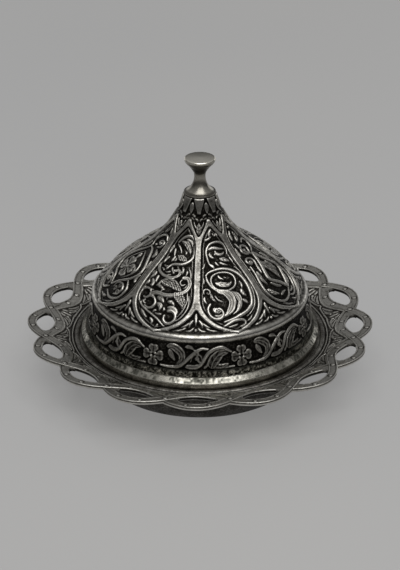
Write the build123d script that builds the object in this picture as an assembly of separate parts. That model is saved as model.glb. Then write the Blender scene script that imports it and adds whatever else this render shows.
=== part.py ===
from build123d import *
from math import asin, cos, degrees, hypot, radians, sin
import os

# A cast metal candy dish with a woven openwork edge and a lift-off ogee lid.
# All sizes are in millimetres. +Z is up, -Y is the front, and the origin is
# the centre of the foot, on the table.

# Foot and bowl
foot_radius = 51.0
foot_ring_width = 5.0
foot_recess = 1.0
floor_radius = 45.0
floor_height = 3.0
bowl_wall = 2.6
bowl_belly = 2.9

# Seat for the lid
seat_radius = 61.8
seat_width = 4.8
seat_height = 20.2
seat_thickness = 2.0
bead_width = 2.4
bead_rise = 1.5

# Plate around the seat, which rises outwards and then flattens under the weave
plate_start = 1.2
plate_break = 10.0
plate_rise_inner = 4.3
plate_slope_outer = 0.14
plate_thickness = 2.25
plate_spare = 1.5

# Woven edge: two wavy straps that cross between the holes
hole_count = 16
strap_mid_radius = 79.25
strap_swing = 6.9
strap_width = 4.5
strap_border = 0.9
strap_groove = 0.45
hole_tip_radius = 1.8
web_border = 0.9
web_margin = 0.9
web_recess = 0.6

# Lid: edge, polished flange, rough band, frieze and ring bead
lid_gap = 1.1
lid_turn = -2.2
edge_height = 4.1
edge_thickness = 2.3
flange_run = 2.4
band_height = 3.3
band_draw = 0.4
frieze_step = 0.9
frieze_height = 13.6
frieze_draw = 2.3
ring_height = 4.0
ring_bulge = 0.7
lid_wall = 2.0

# Lid: dome with an outward belly and a hollow neck
dome_inset = 2.5
dome_joint_radius = 28.5
dome_joint_rise = 22.2
dome_belly = 1.5
dome_rise = 51.8
neck_radius = 7.6
crown_thickness = 2.5

# Lid: raised straps that frame the panels
panel_count = 8
frame_raise = 0.9
frame_root = 0.3
shared_strap = 3.2
outline_strap = 2.4
panel_foot_inset = 0.3
panel_side_low_inset = 10.2
panel_side_high_reach = 9.9
panel_tip_reach = 5.8
panel_low_swell = 4.3
panel_high_swell = 0.3
collar_reach = 3.1

# Lid: the main scrolls and leaves in the panels
scroll_width = 1.7
leaf_swell = 1.5
ring_radius_small = 2.6
ring_radius_large = 4.2

# Lid: relief of the frieze, with one flower in each repeat
frieze_raise = 0.6
petal_radius = 2.5
petal_spread = 3.9
frieze_stem = 1.6

# Finial, turned in one piece
finial_foot_radius = 7.9
finial_lip = 0.9
finial_shoulder = 0.6
finial_neck_radius = 2.85
finial_neck_height = 8.7
finial_flare_rise = 8.5
finial_top_radius = 7.8
finial_edge = 1.2
finial_crown = 0.45
finial_curve = 1.35

# Screw that holds the finial, and its washer
screw_radius = 1.5
screw_length = 10.0
screw_fit = 0.05
bore_spare = 0.8
hole_fit = 0.2
head_radius = 3.0
head_height = 2.1
slot_width = 0.9
slot_depth = 1.0
washer_radius = 4.5
washer_thickness = 0.8

# Points on a strap's curve in plan, for each hole
points_per_hole = 8

waves = hole_count / 2
hole_step = 360 / hole_count
panel_step = 360 / panel_count


def polar(radius, turn):
    """A plan point at a turn in degrees from the front, towards +X."""
    return Vector(radius * sin(radians(turn)), -radius * cos(radians(turn)))


def turned(profile):
    """A half section, drawn as radius and height, turned about the axis."""
    return revolve(Plane.XZ * profile, Axis.Z)


def around(shape, count, step):
    """Equal copies of a shape about the axis, one step apart."""
    return [Rot(0, 0, i * step) * shape for i in range(count)]


def bowed(start, end, bulge):
    """An arc between two points that bulges to the right of its chord."""
    chord = Vector(*end) - Vector(*start)
    middle = Vector(*start) + chord * 0.5
    side = Vector(chord.Y, -chord.X).normalized()
    return ThreePointArc(start, middle + side * bulge, end)


def beside(arc, distance):
    """An arc moved sideways, to its right where distance is positive."""
    points = []
    for place in (0, 0.5, 1):
        ahead = arc % place
        points.append(arc @ place + Vector(ahead.Y, -ahead.X) * distance)
    return ThreePointArc(*points)


# Dish


def plate_line(lift):
    """The plate's top line from the seat's bead outwards, raised by lift."""
    start = seat_height + plate_start + lift
    bend = start + plate_rise_inner
    spread = plate_radius - plate_inner - plate_break
    return Polyline(
        (plate_inner, start),
        (plate_inner + plate_break, bend),
        (plate_radius, bend + spread * plate_slope_outer),
    )


def strap_line(sideways, start, stop):
    """One edge of a strap in plan, between two turns in degrees."""
    points = []
    step = hole_step / points_per_hole
    for i in range(round((stop - start) / step) + 1):
        turn = start + i * step
        radius = strap_mid_radius + strap_swing * cos(radians(waves * turn))
        slope = -waves * strap_swing * sin(radians(waves * turn))
        length = hypot(radius, slope)
        out = radius + sideways * radius / length
        along = -sideways * slope / length
        points.append(polar(out, turn) + polar(along, turn + 90))
    return Spline(*points)


def under(edge):
    """The face between a plan curve and the axis."""
    return make_face([edge, Line(edge @ 1, (0, 0)), Line((0, 0), edge @ 0)])


def strip(half_width, start, stop):
    """A stretch of strap of the given half width, as a plan face."""
    inner = strap_line(-half_width, start, stop)
    outer = strap_line(half_width, start, stop)
    ends = [Line(inner @ 0, outer @ 0), Line(inner @ 1, outer @ 1)]
    return make_face([inner, outer] + ends)


def plate_slice(depth):
    """The layer of the plate's top down to a depth, with room above."""
    low = plate_line(-depth)
    high = plate_line(plate_thickness)
    ends = [Line(low @ 0, high @ 0), Line(low @ 1, high @ 1)]
    return turned(make_face([low, high] + ends))


half_strap = strap_width / 2
plate_radius = strap_mid_radius + strap_swing + half_strap + plate_spare
plate_inner = seat_radius + bead_width
seat_inner = seat_radius - seat_width
wall_top = seat_inner + bowl_wall
plate_top = plate_line(0)
plate_low = plate_line(-plate_thickness)
bead_foot = (seat_radius, seat_height + bead_rise * 0.6)
seat_low = seat_height - seat_thickness
foot_inner = foot_radius - foot_ring_width

dish_section = make_face(
    [
        Line((0, foot_recess), (foot_inner, foot_recess)),
        Line((foot_inner, foot_recess), (foot_inner, 0)),
        Line((foot_inner, 0), (foot_radius, 0)),
        bowed((foot_radius, 0), (wall_top, seat_low), bowl_belly / 2),
        Line((wall_top, seat_low), (seat_radius + bead_width / 4, seat_low)),
        Line((seat_radius + bead_width / 4, seat_low), plate_low @ 0),
        plate_low,
        Line(plate_low @ 1, plate_top @ 1),
        plate_top,
        bowed(plate_top @ 0, bead_foot, bead_width / 4),
        Line(bead_foot, (seat_radius, seat_height)),
        Line((seat_radius, seat_height), (seat_inner, seat_height)),
        bowed((seat_inner, seat_height), (floor_radius, floor_height), -bowl_belly),
        Line((floor_radius, floor_height), (0, floor_height)),
        Line((0, floor_height), (0, foot_recess)),
    ]
)

# Plan of the woven edge. The strap that swings out over a hole and the one
# that swings in under it are the same curve, one hole further round.
reach = hole_step * 0.75
low_half = -hole_step - reach
lobe = under(strap_line(half_strap, -reach, reach))
hole_top = under(strap_line(-half_strap, -reach, reach))
hole_low = Rot(0, 0, hole_step) * under(strap_line(half_strap, low_half, -hole_step + reach))
hole = hole_top - hole_low
hole = fillet(hole.vertices(), hole_tip_radius)
plan = Circle(strap_mid_radius)
for one in around(lobe, hole_count, hole_step):
    plan += one
for one in around(hole, hole_count, hole_step):
    plan -= one

# The groove along a strap runs over one crossing and stops at the next two.
weave_over = hole_step / 2
groove_start = weave_over - hole_step
groove_stop = weave_over + hole_step
groove = strip(half_strap - strap_border, groove_start, groove_stop)
crossing = Rot(0, 0, hole_step) * strip(half_strap, -hole_step * 2, -hole_step)
groove -= crossing
groove -= Rot(0, 0, 2 * hole_step) * crossing

# The web between the inner arcs and the seat's bead lies lower than the straps,
# which have a wider border on that side.
web_edge = strap_line(-half_strap - web_border, low_half, -hole_step + reach)
web_low = Rot(0, 0, hole_step) * under(web_edge)
wedge = make_face(
    Polyline((0, 0), polar(plate_radius, -hole_step / 2), polar(plate_radius, hole_step / 2), close=True)
)
web = (web_low & wedge) - Circle(plate_inner + web_margin)

top_level = (plate_top @ 1).Y + plate_thickness * 2
dish = turned(dish_section) & extrude(plan, amount=top_level)
groove_layer = plate_slice(strap_groove)
web_layer = plate_slice(web_recess)
grooves = extrude(Sketch() + around(groove, hole_count, hole_step), amount=top_level)
webs = extrude(Sketch() + around(web, hole_count, hole_step), amount=top_level)
dish -= groove_layer & grooves
dish -= web_layer & webs

# Lid

lid_radius = seat_radius - lid_gap
flange_radius = lid_radius - flange_run
band_radius = flange_radius - band_draw
frieze_radius = band_radius - frieze_step
ring_radius = frieze_radius - frieze_draw
dome_radius = ring_radius - dome_inset

edge_top = seat_height + edge_height
flange_top = edge_top + flange_run
band_top = flange_top + band_height
frieze_top = band_top + frieze_height
dome_foot = frieze_top + ring_height
crown = dome_foot + dome_rise

dome_joint = (dome_joint_radius, dome_foot + dome_joint_rise)
belly = bowed((dome_radius, dome_foot), dome_joint, dome_belly)
hollow = TangentArc(dome_joint, (neck_radius, crown), tangent=belly % 1)
inner_belly = beside(belly, -lid_wall)
inner_hollow = beside(hollow, -lid_wall)

lid_outside = make_face(
    [
        Polyline(
            (0, seat_height),
            (lid_radius, seat_height),
            (lid_radius, edge_top),
            (flange_radius, flange_top),
            (band_radius, band_top),
            (frieze_radius, band_top),
            (ring_radius, frieze_top),
        ),
        bowed((ring_radius, frieze_top), (dome_radius, dome_foot), ring_bulge * 2),
        belly,
        hollow,
        Polyline((neck_radius, crown), (0, crown), (0, seat_height)),
    ]
)
lid_inside = make_face(
    [
        Polyline(
            (0, seat_height),
            (lid_radius - edge_thickness, seat_height),
            (lid_radius - edge_thickness, edge_top - lid_wall / 2),
            (flange_radius - edge_thickness, flange_top - lid_wall / 2),
            (frieze_radius - lid_wall, band_top),
            (ring_radius - lid_wall, frieze_top),
            inner_belly @ 0,
        ),
        inner_belly,
        inner_hollow,
        Polyline(inner_hollow @ 1, (0, (inner_hollow @ 1).Y), (0, seat_height)),
    ]
)
under_crown = extrude(Circle(lid_radius), amount=crown - crown_thickness)
crown_hole = extrude(Circle(screw_radius + hole_fit), amount=crown)

# One panel in plan. Its sides run along the shared straps, and it comes to a
# point at the ring bead and again below the finial.


panel_foot_radius = dome_radius - panel_foot_inset
panel_side_low_radius = dome_radius - panel_side_low_inset
panel_side_high_radius = neck_radius + panel_side_high_reach
panel_tip_radius = neck_radius + panel_tip_reach
collar_radius = neck_radius + collar_reach
fork_low_radius = dome_radius + frame_raise


def beside_straps(radius):
    """The right and left corners where a panel's sides reach a radius."""
    turn = panel_step / 2 - degrees(asin(shared_strap / 2 / radius))
    return polar(radius, turn), polar(radius, -turn)


low_right, low_left = beside_straps(panel_side_low_radius)
high_right, high_left = beside_straps(panel_side_high_radius)
panel_foot = polar(panel_foot_radius, 0)
panel_tip = polar(panel_tip_radius, 0)
panel = make_face(
    [
        bowed(panel_foot, low_right, panel_low_swell),
        Line(low_right, high_right),
        bowed(high_right, panel_tip, panel_high_swell),
        bowed(panel_tip, high_left, panel_high_swell),
        Line(high_left, low_left),
        bowed(low_left, panel_foot, panel_low_swell),
    ]
)
framed_panel = offset(panel, amount=outline_strap, kind=Kind.INTERSECTION)
forks = Circle(fork_low_radius) - Circle(panel_side_low_radius)
forks += Circle(panel_side_high_radius) - Circle(collar_radius)
for one in around(framed_panel, panel_count, panel_step):
    forks -= one


# Scrolls in a panel. A spot is given by its share of the way from the middle
# line to the next shared strap, and from the panel's foot to its tip.


def spot(across, along):
    """A plan point in the front panel."""
    radius = panel_foot_radius + (panel_tip_radius - panel_foot_radius) * along
    return polar(radius, across * panel_step / 2)


def scroll(start, via, end):
    """A stem of even width on an arc through three spots."""
    arc = ThreePointArc(spot(*start), spot(*via), spot(*end))
    inner = beside(arc, -scroll_width / 2)
    outer = beside(arc, scroll_width / 2)
    return make_face([inner, outer, Line(inner @ 0, outer @ 0), Line(inner @ 1, outer @ 1)])


def leaf(start, end, lean=0.4):
    """A pointed leaf between two spots, fuller on its right side."""
    a, b = spot(*start), spot(*end)
    low, high = (a.X, a.Y), (b.X, b.Y)
    return make_face([bowed(low, high, leaf_swell * (1 + lean)), bowed(high, low, leaf_swell * (1 - lean))])


def ring(centre, radius):
    """A closed ring round a spot."""
    place = spot(*centre)
    return Pos(place.X, place.Y) * (Circle(radius) - Circle(radius - scroll_width * 0.7))


def boss(centre, radius):
    """A round boss on a spot."""
    place = spot(*centre)
    return Pos(place.X, place.Y) * Circle(radius)


vine = [
    scroll((-0.4, 0.87), (0.66, 0.91), (0.72, 0.77)),
    scroll((0.72, 0.77), (0.36, 0.68), (-0.4, 0.6)),
    scroll((-0.72, 0.6), (-0.47, 0.51), (0.24, 0.51)),
    scroll((0.5, 0.52), (0.7, 0.4), (-0.1, 0.29)),
    scroll((-0.82, 0.24), (-0.38, 0.12), (0.24, 0.02)),
    leaf((-0.3, 0.42), (0.48, 0.37)),
    leaf((0.26, 0.33), (0.6, 0.15)),
    leaf((-0.16, 0.86), (0.5, 0.77)),
    ring((-0.6, 0.27), ring_radius_small),
    ring((-0.32, 0.18), ring_radius_small),
    ring((0.27, 0.1), ring_radius_small),
]
rings = [
    scroll((-0.5, 0.67), (-0.2, 0.88), (0.7, 0.77)),
    scroll((-0.64, 0.55), (0.15, 0.6), (0.76, 0.38)),
    scroll((0.76, 0.38), (0.6, 0.17), (-0.26, 0.06)),
    scroll((-0.33, 0.02), (0.0, 0.06), (0.26, 0.04)),
    leaf((-0.32, 0.36), (-0.2, 0.1), -0.5),
    leaf((0.06, 0.36), (-0.02, 0.1), -0.5),
    leaf((-0.3, 0.83), (0.6, 0.8)),
    ring((0.0, 0.46), ring_radius_large),
    ring((-0.44, 0.16), ring_radius_large * 0.8),
]
lattice = [
    scroll((0.18, 0.64), (0.46, 0.47), (0.66, 0.34)),
    scroll((0.66, 0.34), (0.47, 0.23), (0.22, 0.14)),
    scroll((0.18, 0.64), (-0.08, 0.48), (-0.26, 0.32)),
    scroll((-0.26, 0.32), (-0.05, 0.22), (0.22, 0.14)),
    scroll((-0.6, 0.54), (-0.74, 0.25), (-0.4, 0.08)),
    scroll((-0.4, 0.08), (-0.1, 0.06), (0.22, 0.14)),
    leaf((-0.02, 0.5), (0.26, 0.25)),
    leaf((-0.5, 0.44), (-0.46, 0.24)),
    ring((-0.1, 0.72), ring_radius_small),
    ring((-0.46, 0.58), ring_radius_small * 0.9),
    leaf((0.02, 0.82), (0.1, 0.95)),
]
flower = [
    scroll((-0.3, 0.72), (0.52, 0.55), (0.66, 0.4)),
    scroll((0.66, 0.4), (0.34, 0.25), (-0.17, 0.14)),
    scroll((-0.3, 0.72), (-0.7, 0.55), (-0.78, 0.37)),
    scroll((-0.78, 0.37), (-0.56, 0.24), (-0.17, 0.14)),
    boss((-0.2, 0.43), scroll_width),
    boss((-0.2, 0.29), scroll_width),
    boss((-0.4, 0.36), scroll_width),
    boss((0.0, 0.36), scroll_width),
    ring((0.3, 0.14), ring_radius_small * 1.2),
    ring((-0.54, 0.13), ring_radius_small),
    ring((0.1, 0.81), ring_radius_small),
]
scrolls = []
for number, design in enumerate([rings, lattice, flower, vine]):
    turn = panel_step * (number + 0.5)
    for shape in design:
        scrolls += around(Rot(0, 0, turn) * shape, 2, 180)
scrolls = Sketch() + scrolls

windows = Sketch() + around(panel, panel_count, panel_step) + forks
windows -= scrolls

frame_low_belly = beside(belly, -frame_root)
frame_low_hollow = beside(hollow, -frame_root)
frame_top_belly = beside(belly, frame_raise)
frame_top_hollow = beside(hollow, frame_raise)
frame_section = make_face(
    [
        frame_low_belly,
        frame_low_hollow,
        Line(frame_low_hollow @ 1, frame_top_hollow @ 1),
        frame_top_hollow,
        frame_top_belly,
        Line(frame_top_belly @ 0, frame_low_belly @ 0),
    ]
)
frame = turned(frame_section) & extrude(Circle(lid_radius), amount=crown)
frame -= extrude(windows, amount=crown)

# Relief of the frieze: a flower of four petals with a stem that winds to the
# next one, drawn on a flat plane and carried back onto the round frieze.
frieze_middle = (band_top + frieze_top) / 2
frieze_reach = frieze_radius * sin(radians(panel_step / 2))


def wind(start, via, end):
    """A stem of the frieze on an arc, as shares of half a repeat and of its height."""
    points = []
    for across, up in (start, via, end):
        points.append((across * frieze_reach, frieze_middle + up * frieze_height / 2))
    arc = ThreePointArc(*points)
    inner = beside(arc, -frieze_stem / 2)
    outer = beside(arc, frieze_stem / 2)
    return make_face([inner, outer, Line(inner @ 0, outer @ 0), Line(inner @ 1, outer @ 1)])


repeat = Sketch()
for across, up in ((petal_spread, 0), (-petal_spread, 0), (0, petal_spread), (0, -petal_spread)):
    repeat += Pos(across, frieze_middle + up) * Circle(petal_radius)
repeat += Pos(0, frieze_middle) * Circle(petal_radius * 0.6)
repeat += wind((0.2, -0.7), (0.6, -0.55), (0.96, 0.55))
repeat += wind((-0.2, 0.62), (-0.6, 0.6), (-0.96, -0.55))
repeat += wind((0.3, 0.55), (0.66, 0.35), (0.42, -0.3))
repeat += wind((-0.3, -0.5), (-0.66, -0.3), (-0.42, 0.3))
frieze_band = make_face(
    Polyline(
        (frieze_radius - frame_root, band_top),
        (frieze_radius + frieze_raise, band_top),
        (ring_radius + frieze_raise, frieze_top),
        (ring_radius - frame_root, frieze_top),
        close=True,
    )
)
front = Plane.XZ.offset(frieze_reach)
relief = extrude(front * repeat, amount=lid_radius - frieze_reach) & turned(frieze_band)
reliefs = around(Rot(0, 0, panel_step / 2) * relief, panel_count, panel_step)

lid_shell = turned(lid_outside) + frame + reliefs
lid_shell -= turned(lid_inside) & under_crown
lid_shell -= crown_hole
lid_shell = Rot(0, 0, lid_turn) * lid_shell

# Finial

lip_top = crown + finial_lip
neck_height = crown + finial_neck_height
flare_top = neck_height + finial_flare_rise
edge_end = flare_top + finial_edge
shoulder = finial_foot_radius - finial_shoulder
top_face_radius = finial_top_radius - finial_shoulder

finial_section = make_face(
    [
        Polyline(
            (0, crown),
            (finial_foot_radius, crown),
            (finial_foot_radius, lip_top),
            (shoulder, lip_top),
        ),
        bowed((shoulder, lip_top), (finial_neck_radius, neck_height), -finial_curve),
        bowed((finial_neck_radius, neck_height), (finial_top_radius, flare_top), -finial_curve),
        bowed((finial_top_radius, flare_top), (top_face_radius, edge_end), finial_shoulder / 2),
        Polyline((top_face_radius, edge_end), (0, edge_end + finial_crown), (0, crown)),
    ]
)
bore_depth = screw_length - washer_thickness - crown_thickness + bore_spare
bore = Pos(0, 0, crown) * extrude(Circle(screw_radius + screw_fit), amount=bore_depth)
finial = turned(finial_section) - bore

# Washer and screw, put in from inside the lid

washer_low = crown - crown_thickness - washer_thickness
washer_ring = Circle(washer_radius) - Circle(screw_radius + hole_fit)
screw_washer = Pos(0, 0, washer_low) * extrude(washer_ring, amount=washer_thickness)

head_low = washer_low - head_height
screw_head = Pos(0, 0, head_low) * extrude(Circle(head_radius), amount=head_height)
screw_head = fillet(screw_head.faces().sort_by(Axis.Z)[0].edges(), head_height / 3)
slot = Pos(0, 0, head_low) * extrude(Rectangle(head_radius * 2.5, slot_width), amount=slot_depth)
screw_shank = Pos(0, 0, washer_low) * extrude(Circle(screw_radius), amount=screw_length)
finial_screw = screw_head + screw_shank - slot

pieces = {
    "dish": dish,
    "lid_shell": lid_shell,
    "finial": finial,
    "screw_washer": screw_washer,
    "finial_screw": finial_screw,
}
for name, piece in pieces.items():
    piece.label = name
    export_step(piece, f"parts/{name}.step")
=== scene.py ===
from math import atan, cos, pi, radians, sin

import bmesh
import bpy
import numpy as np
from mathutils import Matrix, Vector


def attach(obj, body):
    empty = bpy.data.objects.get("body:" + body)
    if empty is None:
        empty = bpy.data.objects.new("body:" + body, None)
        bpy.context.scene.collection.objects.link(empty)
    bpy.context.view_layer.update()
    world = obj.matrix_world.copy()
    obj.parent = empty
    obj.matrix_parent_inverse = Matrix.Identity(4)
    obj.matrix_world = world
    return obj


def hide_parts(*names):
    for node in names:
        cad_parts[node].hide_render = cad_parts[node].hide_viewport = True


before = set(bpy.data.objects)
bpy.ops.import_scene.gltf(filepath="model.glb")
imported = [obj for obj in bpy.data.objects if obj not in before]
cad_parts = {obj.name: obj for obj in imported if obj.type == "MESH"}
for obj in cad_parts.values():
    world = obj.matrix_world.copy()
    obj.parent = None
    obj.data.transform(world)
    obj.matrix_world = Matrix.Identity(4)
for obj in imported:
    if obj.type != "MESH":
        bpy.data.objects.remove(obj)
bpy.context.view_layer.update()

# A cast metal candy dish. The sizes below are in millimetres, turns are in
# degrees from the front (-Y) towards +X, and the meshes are in metres.


# BOWL AND FOOT RING
# The round middle of the dish casting: a foot ring, a low bowl, the ledge that
# the lid stands on, and the bead around it. Cast, then turned on the inside.

foot_radius = 51.0
foot_inner = 46.0
foot_recess = 1.0
belly_radius = 59.6
belly_top = 18.2
belly_bulge = 1.45
bowl_floor = (45, 3.0)
bowl_bulge = 2.9
ledge_height = 20.2
ledge_inner = 57.0
bead_inner = 61.8
bead_bulge = 0.7
plate_inner = 64.2
plate_start = 21.4
plate_thickness = 2.25


def bowed(start, end, bulge, count):
    """Points on an arc that bulges to the right of its chord by a given height."""
    a, b = np.array(start, float), np.array(end, float)
    chord = b - a
    length = np.hypot(*chord)
    ahead = chord / length
    side = np.array((ahead[1], -ahead[0])) * np.sign(bulge)
    half = 2 * atan(2 * abs(bulge) / length)
    radius = length / 2 / sin(half)
    turns = np.linspace(-half, half, count)
    out = (a + b) / 2 + np.outer(radius * np.sin(turns), ahead)
    out += np.outer(radius * (np.cos(turns) - cos(half)), side)
    return [tuple(p) for p in out]


def spun(outline, steps, first=0.0, sweep=360.0, soft=(), soft_by=0.3, closed=True):
    """Turns an outline of radius and height about the axis, as on a lathe."""
    bm = bmesh.new()
    row = bm.verts.layers.int.new("row")
    dots = []
    for i, (r, z) in enumerate(outline):
        x, y = r * sin(radians(first)), -r * cos(radians(first))
        dot = bm.verts.new((x / 1000, y / 1000, z / 1000))
        dot[row] = i
        dots.append(dot)
    pairs = list(zip(dots, dots[1:]))
    if closed:
        pairs.append((dots[-1], dots[0]))
    for pair in pairs:
        bm.edges.new(pair)
    if soft:
        corners = [dots[i] for i in soft]
        bmesh.ops.bevel(
            bm, geom=corners, offset=soft_by / 1000, affect="VERTICES", segments=3, profile=0.5, material=-1
        )
    # A long spin is slow, so a short one is made and doubled until it is round.
    folds = 0
    while steps % 2 == 0 and steps > 48:
        steps, folds = steps // 2, folds + 1
    wedge = radians(sweep) / 2**folds
    bmesh.ops.spin(
        bm, geom=bm.verts[:] + bm.edges[:], cent=(0, 0, 0), axis=(0, 0, 1), angle=wedge, steps=steps, use_merge=False
    )
    for fold in range(folds):
        copy = bmesh.ops.duplicate(bm, geom=bm.verts[:] + bm.edges[:] + bm.faces[:])
        dots = [v for v in copy["geom"] if isinstance(v, bmesh.types.BMVert)]
        bmesh.ops.rotate(bm, verts=dots, cent=(0, 0, 0), matrix=Matrix.Rotation(wedge * 2**fold, 3, "Z"))
    bmesh.ops.remove_doubles(bm, verts=bm.verts[:], dist=4e-7)
    if sweep < 360:
        rims = [e for e in bm.edges if e.is_boundary]
        bmesh.ops.holes_fill(bm, edges=rims, sides=0)
    bmesh.ops.recalc_face_normals(bm, faces=bm.faces[:])
    return bm


def places(mesh):
    """Radius, turn and height of every vertex, in millimetres and degrees."""
    spots = np.empty(len(mesh.vertices) * 3)
    mesh.vertices.foreach_get("co", spots)
    x, y, z = spots.reshape(-1, 3).T * 1000
    return np.hypot(x, y), np.degrees(np.arctan2(x, -y)), z


def settle(mesh, radius, turn, height):
    """Moves every vertex to a radius, turn and height."""
    a = np.radians(turn)
    spots = np.stack([radius * np.sin(a), -radius * np.cos(a), height], 1) / 1000
    mesh.vertices.foreach_set("co", spots.ravel())
    mesh.update()


def placed(name, data):
    """Puts an object with its mesh, lamp or camera into the scene."""
    made = bpy.data.objects.new(name, data)
    bpy.context.scene.collection.objects.link(made)
    return made


def piece(name, bm, material, body, node, crease=38):
    """Makes the object, sets its smooth faces and creases, and fits it to the frame."""
    mesh = bpy.data.meshes.new(name)
    for face in bm.faces:
        face.smooth = True
    for edge in bm.edges:
        if len(edge.link_faces) == 2 and edge.calc_face_angle() > radians(crease):
            edge.smooth = False
    bm.to_mesh(mesh)
    bm.free()
    made = placed(name, mesh)
    mesh.materials.append(material)
    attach(made, body)
    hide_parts(node)
    return made


def limit(values):
    """The values, kept between 0 and 1."""
    return np.clip(values, 0, 1)


def darken(mesh, values):
    """Keeps how dark the plate is at every vertex, 0 for bright and 1 for black: tarnish, and in places painted shade
    and painted highlights.
    """
    store = mesh.attributes.new("hollow", "FLOAT", "POINT")
    store.data.foreach_set("value", limit(values).astype(np.float32))


def plug(tree, socket, value):
    """Wires what another node gives into a socket, or sets it to a plain value."""
    if isinstance(value, bpy.types.NodeSocket):
        tree.links.new(value, socket)
    else:
        socket.default_value = value


def feed(tree, made, **inputs):
    """Fills a node's sockets by name, with _ for each space in the name."""
    for name, value in inputs.items():
        plug(tree, made.inputs[name.replace("_", " ")], value)


def node(tree, kind, **inputs):
    """Adds a shader node and fills its sockets."""
    made = tree.nodes.new(kind)
    feed(tree, made, **inputs)
    return made


def worked_out(tree, operation, *values, clamp=False):
    """Adds a node that works out one number from others, as told by the operation."""
    made = tree.nodes.new("ShaderNodeMath")
    made.operation, made.use_clamp = operation, clamp
    for socket, value in zip(made.inputs, values):
        plug(tree, socket, value)
    return made.outputs[0]


def toned(tree, level, tones):
    """Adds a colour ramp through the given places and colours."""
    ramp = node(tree, "ShaderNodeValToRGB", Fac=level)
    stops = ramp.color_ramp.elements
    while len(stops) < len(tones):
        stops.new(0.5)
    for stop, (at, colour) in zip(stops, tones):
        stop.position = at
        stop.color = (*colour, 1)
    return ramp.outputs["Color"]


def aged_silver(name, tones, gloss, dull, patches=0.25, specks=0.3, dents=0.00002, grain=1400):
    """Silver plate over white metal, darkened by the tarnish and painted shade stored at each vertex, with patches
    and specks.
    """
    made = bpy.data.materials.new(name)
    made.use_nodes = True
    tree = made.node_tree
    spot = node(tree, "ShaderNodeTexCoord").outputs["Object"]
    depth = node(tree, "ShaderNodeAttribute")
    depth.attribute_name = "hollow"
    cloud = node(tree, "ShaderNodeTexNoise", Vector=spot, Scale=140, Detail=5, Roughness=0.65).outputs["Fac"]
    speck = node(tree, "ShaderNodeTexNoise", Vector=spot, Scale=grain, Detail=3).outputs["Fac"]
    level = worked_out(tree, "MULTIPLY_ADD", cloud, patches * 2, depth.outputs["Fac"])
    level = worked_out(tree, "MULTIPLY_ADD", speck, specks * 2, level)
    level = worked_out(tree, "SUBTRACT", level, patches + specks, clamp=True)
    colour = toned(tree, level, tones)
    rough = node(tree, "ShaderNodeMapRange", Value=level, To_Min=gloss, To_Max=dull).outputs["Result"]
    bump = node(tree, "ShaderNodeBump", Strength=1.0, Distance=dents, Height=speck).outputs["Normal"]
    feed(tree, tree.nodes["Principled BSDF"], Metallic=1.0, Base_Color=colour, Roughness=rough, Normal=bump)
    return made


cast_tones = [
    (0.0, (0.66, 0.645, 0.60)),
    (0.3, (0.40, 0.39, 0.36)),
    (0.5, (0.24, 0.232, 0.212)),
    (0.68, (0.075, 0.07, 0.062)),
    (0.85, (0.018, 0.016, 0.013)),
    (1.0, (0.007, 0.006, 0.005)),
]
dish_silver = aged_silver("dish_silver", cast_tones, gloss=0.27, dull=0.62)

wall_steps = 14
floor_steps = 18
bowl_outline = [(0, foot_recess), (foot_inner, foot_recess), (foot_inner, 0), (foot_radius, 0)]
bowl_outline += bowed((foot_radius, 0), (belly_radius, belly_top), belly_bulge, wall_steps)[1:]
bowl_outline += [(62.4, belly_top), (plate_inner, plate_start - plate_thickness), (plate_inner, plate_start)]
bowl_outline += bowed((plate_inner, plate_start), (bead_inner, ledge_height + 0.9), bead_bulge, 8)[1:]
bowl_outline += [(bead_inner, ledge_height), (ledge_inner, ledge_height)]
bowl_outline += bowed((ledge_inner, ledge_height), bowl_floor, -bowl_bulge, floor_steps)[1:]
bowl_outline += [(0, bowl_floor[1])]
belly_corner = wall_steps + 2
ledge_corner = len(bowl_outline) - floor_steps - 1
bm = spun(bowl_outline, 256, soft=(1, 2, 3, belly_corner, ledge_corner), closed=False)
bowl = piece("dish_bowl", bm, dish_silver, "dish", "dish")
radius, turn, height = places(bowl.data)
# Painted shade darkens the outside under the plate and the seat's bead, and the foot's underside is a little darker
# towards the middle.
under_side = limit((foot_radius + 1 - radius) / 6) * (height < 1.5)
outside = (radius > 49.5 + 0.42 * height) * (height < 19)
seat_bead_shade = limit((height - 19) / 1) * (radius > 57.5)
darken(bowl.data, 0.45 + 0.1 * under_side + 0.27 * outside + 0.18 * seat_bead_shade)


# PLATE AROUND THE SEAT
# The web between the seat's bead and the woven straps, cast in one with the
# bowl. A raised line runs round it, and low leaves fill each of its corners.

hole_count = 16
waves = hole_count // 2
strap_mid = 79.25
strap_swing = 6.9
strap_width = 4.5
plate_run = 10.0
plate_rise = 4.3
plate_blend = 0.25
weave_slope = 0.14
web_columns = hole_count * 90
web_rows = 42
web_start = plate_inner - 0.15
web_reach = 11.0
web_drop = 0.6
web_under_strap = 1.5


def plate_height(radius):
    """The plate's top, which rises outwards and flattens under the weave."""
    steep = plate_start + (radius - plate_inner) * plate_rise / plate_run
    flat = plate_start + plate_rise + (radius - plate_inner - plate_run) * weave_slope
    return steep - np.logaddexp(0, (steep - flat) / plate_blend) * plate_blend


def beside_weave(turn, gap):
    """Radius of the line that runs a given gap inside the middle of the inner arcs."""
    middle = strap_mid - strap_swing * np.abs(np.cos(np.radians(waves * turn)))
    slope = waves * strap_swing * np.sin(np.radians(waves * turn))
    return middle - gap * np.hypot(middle, slope) / middle


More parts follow.
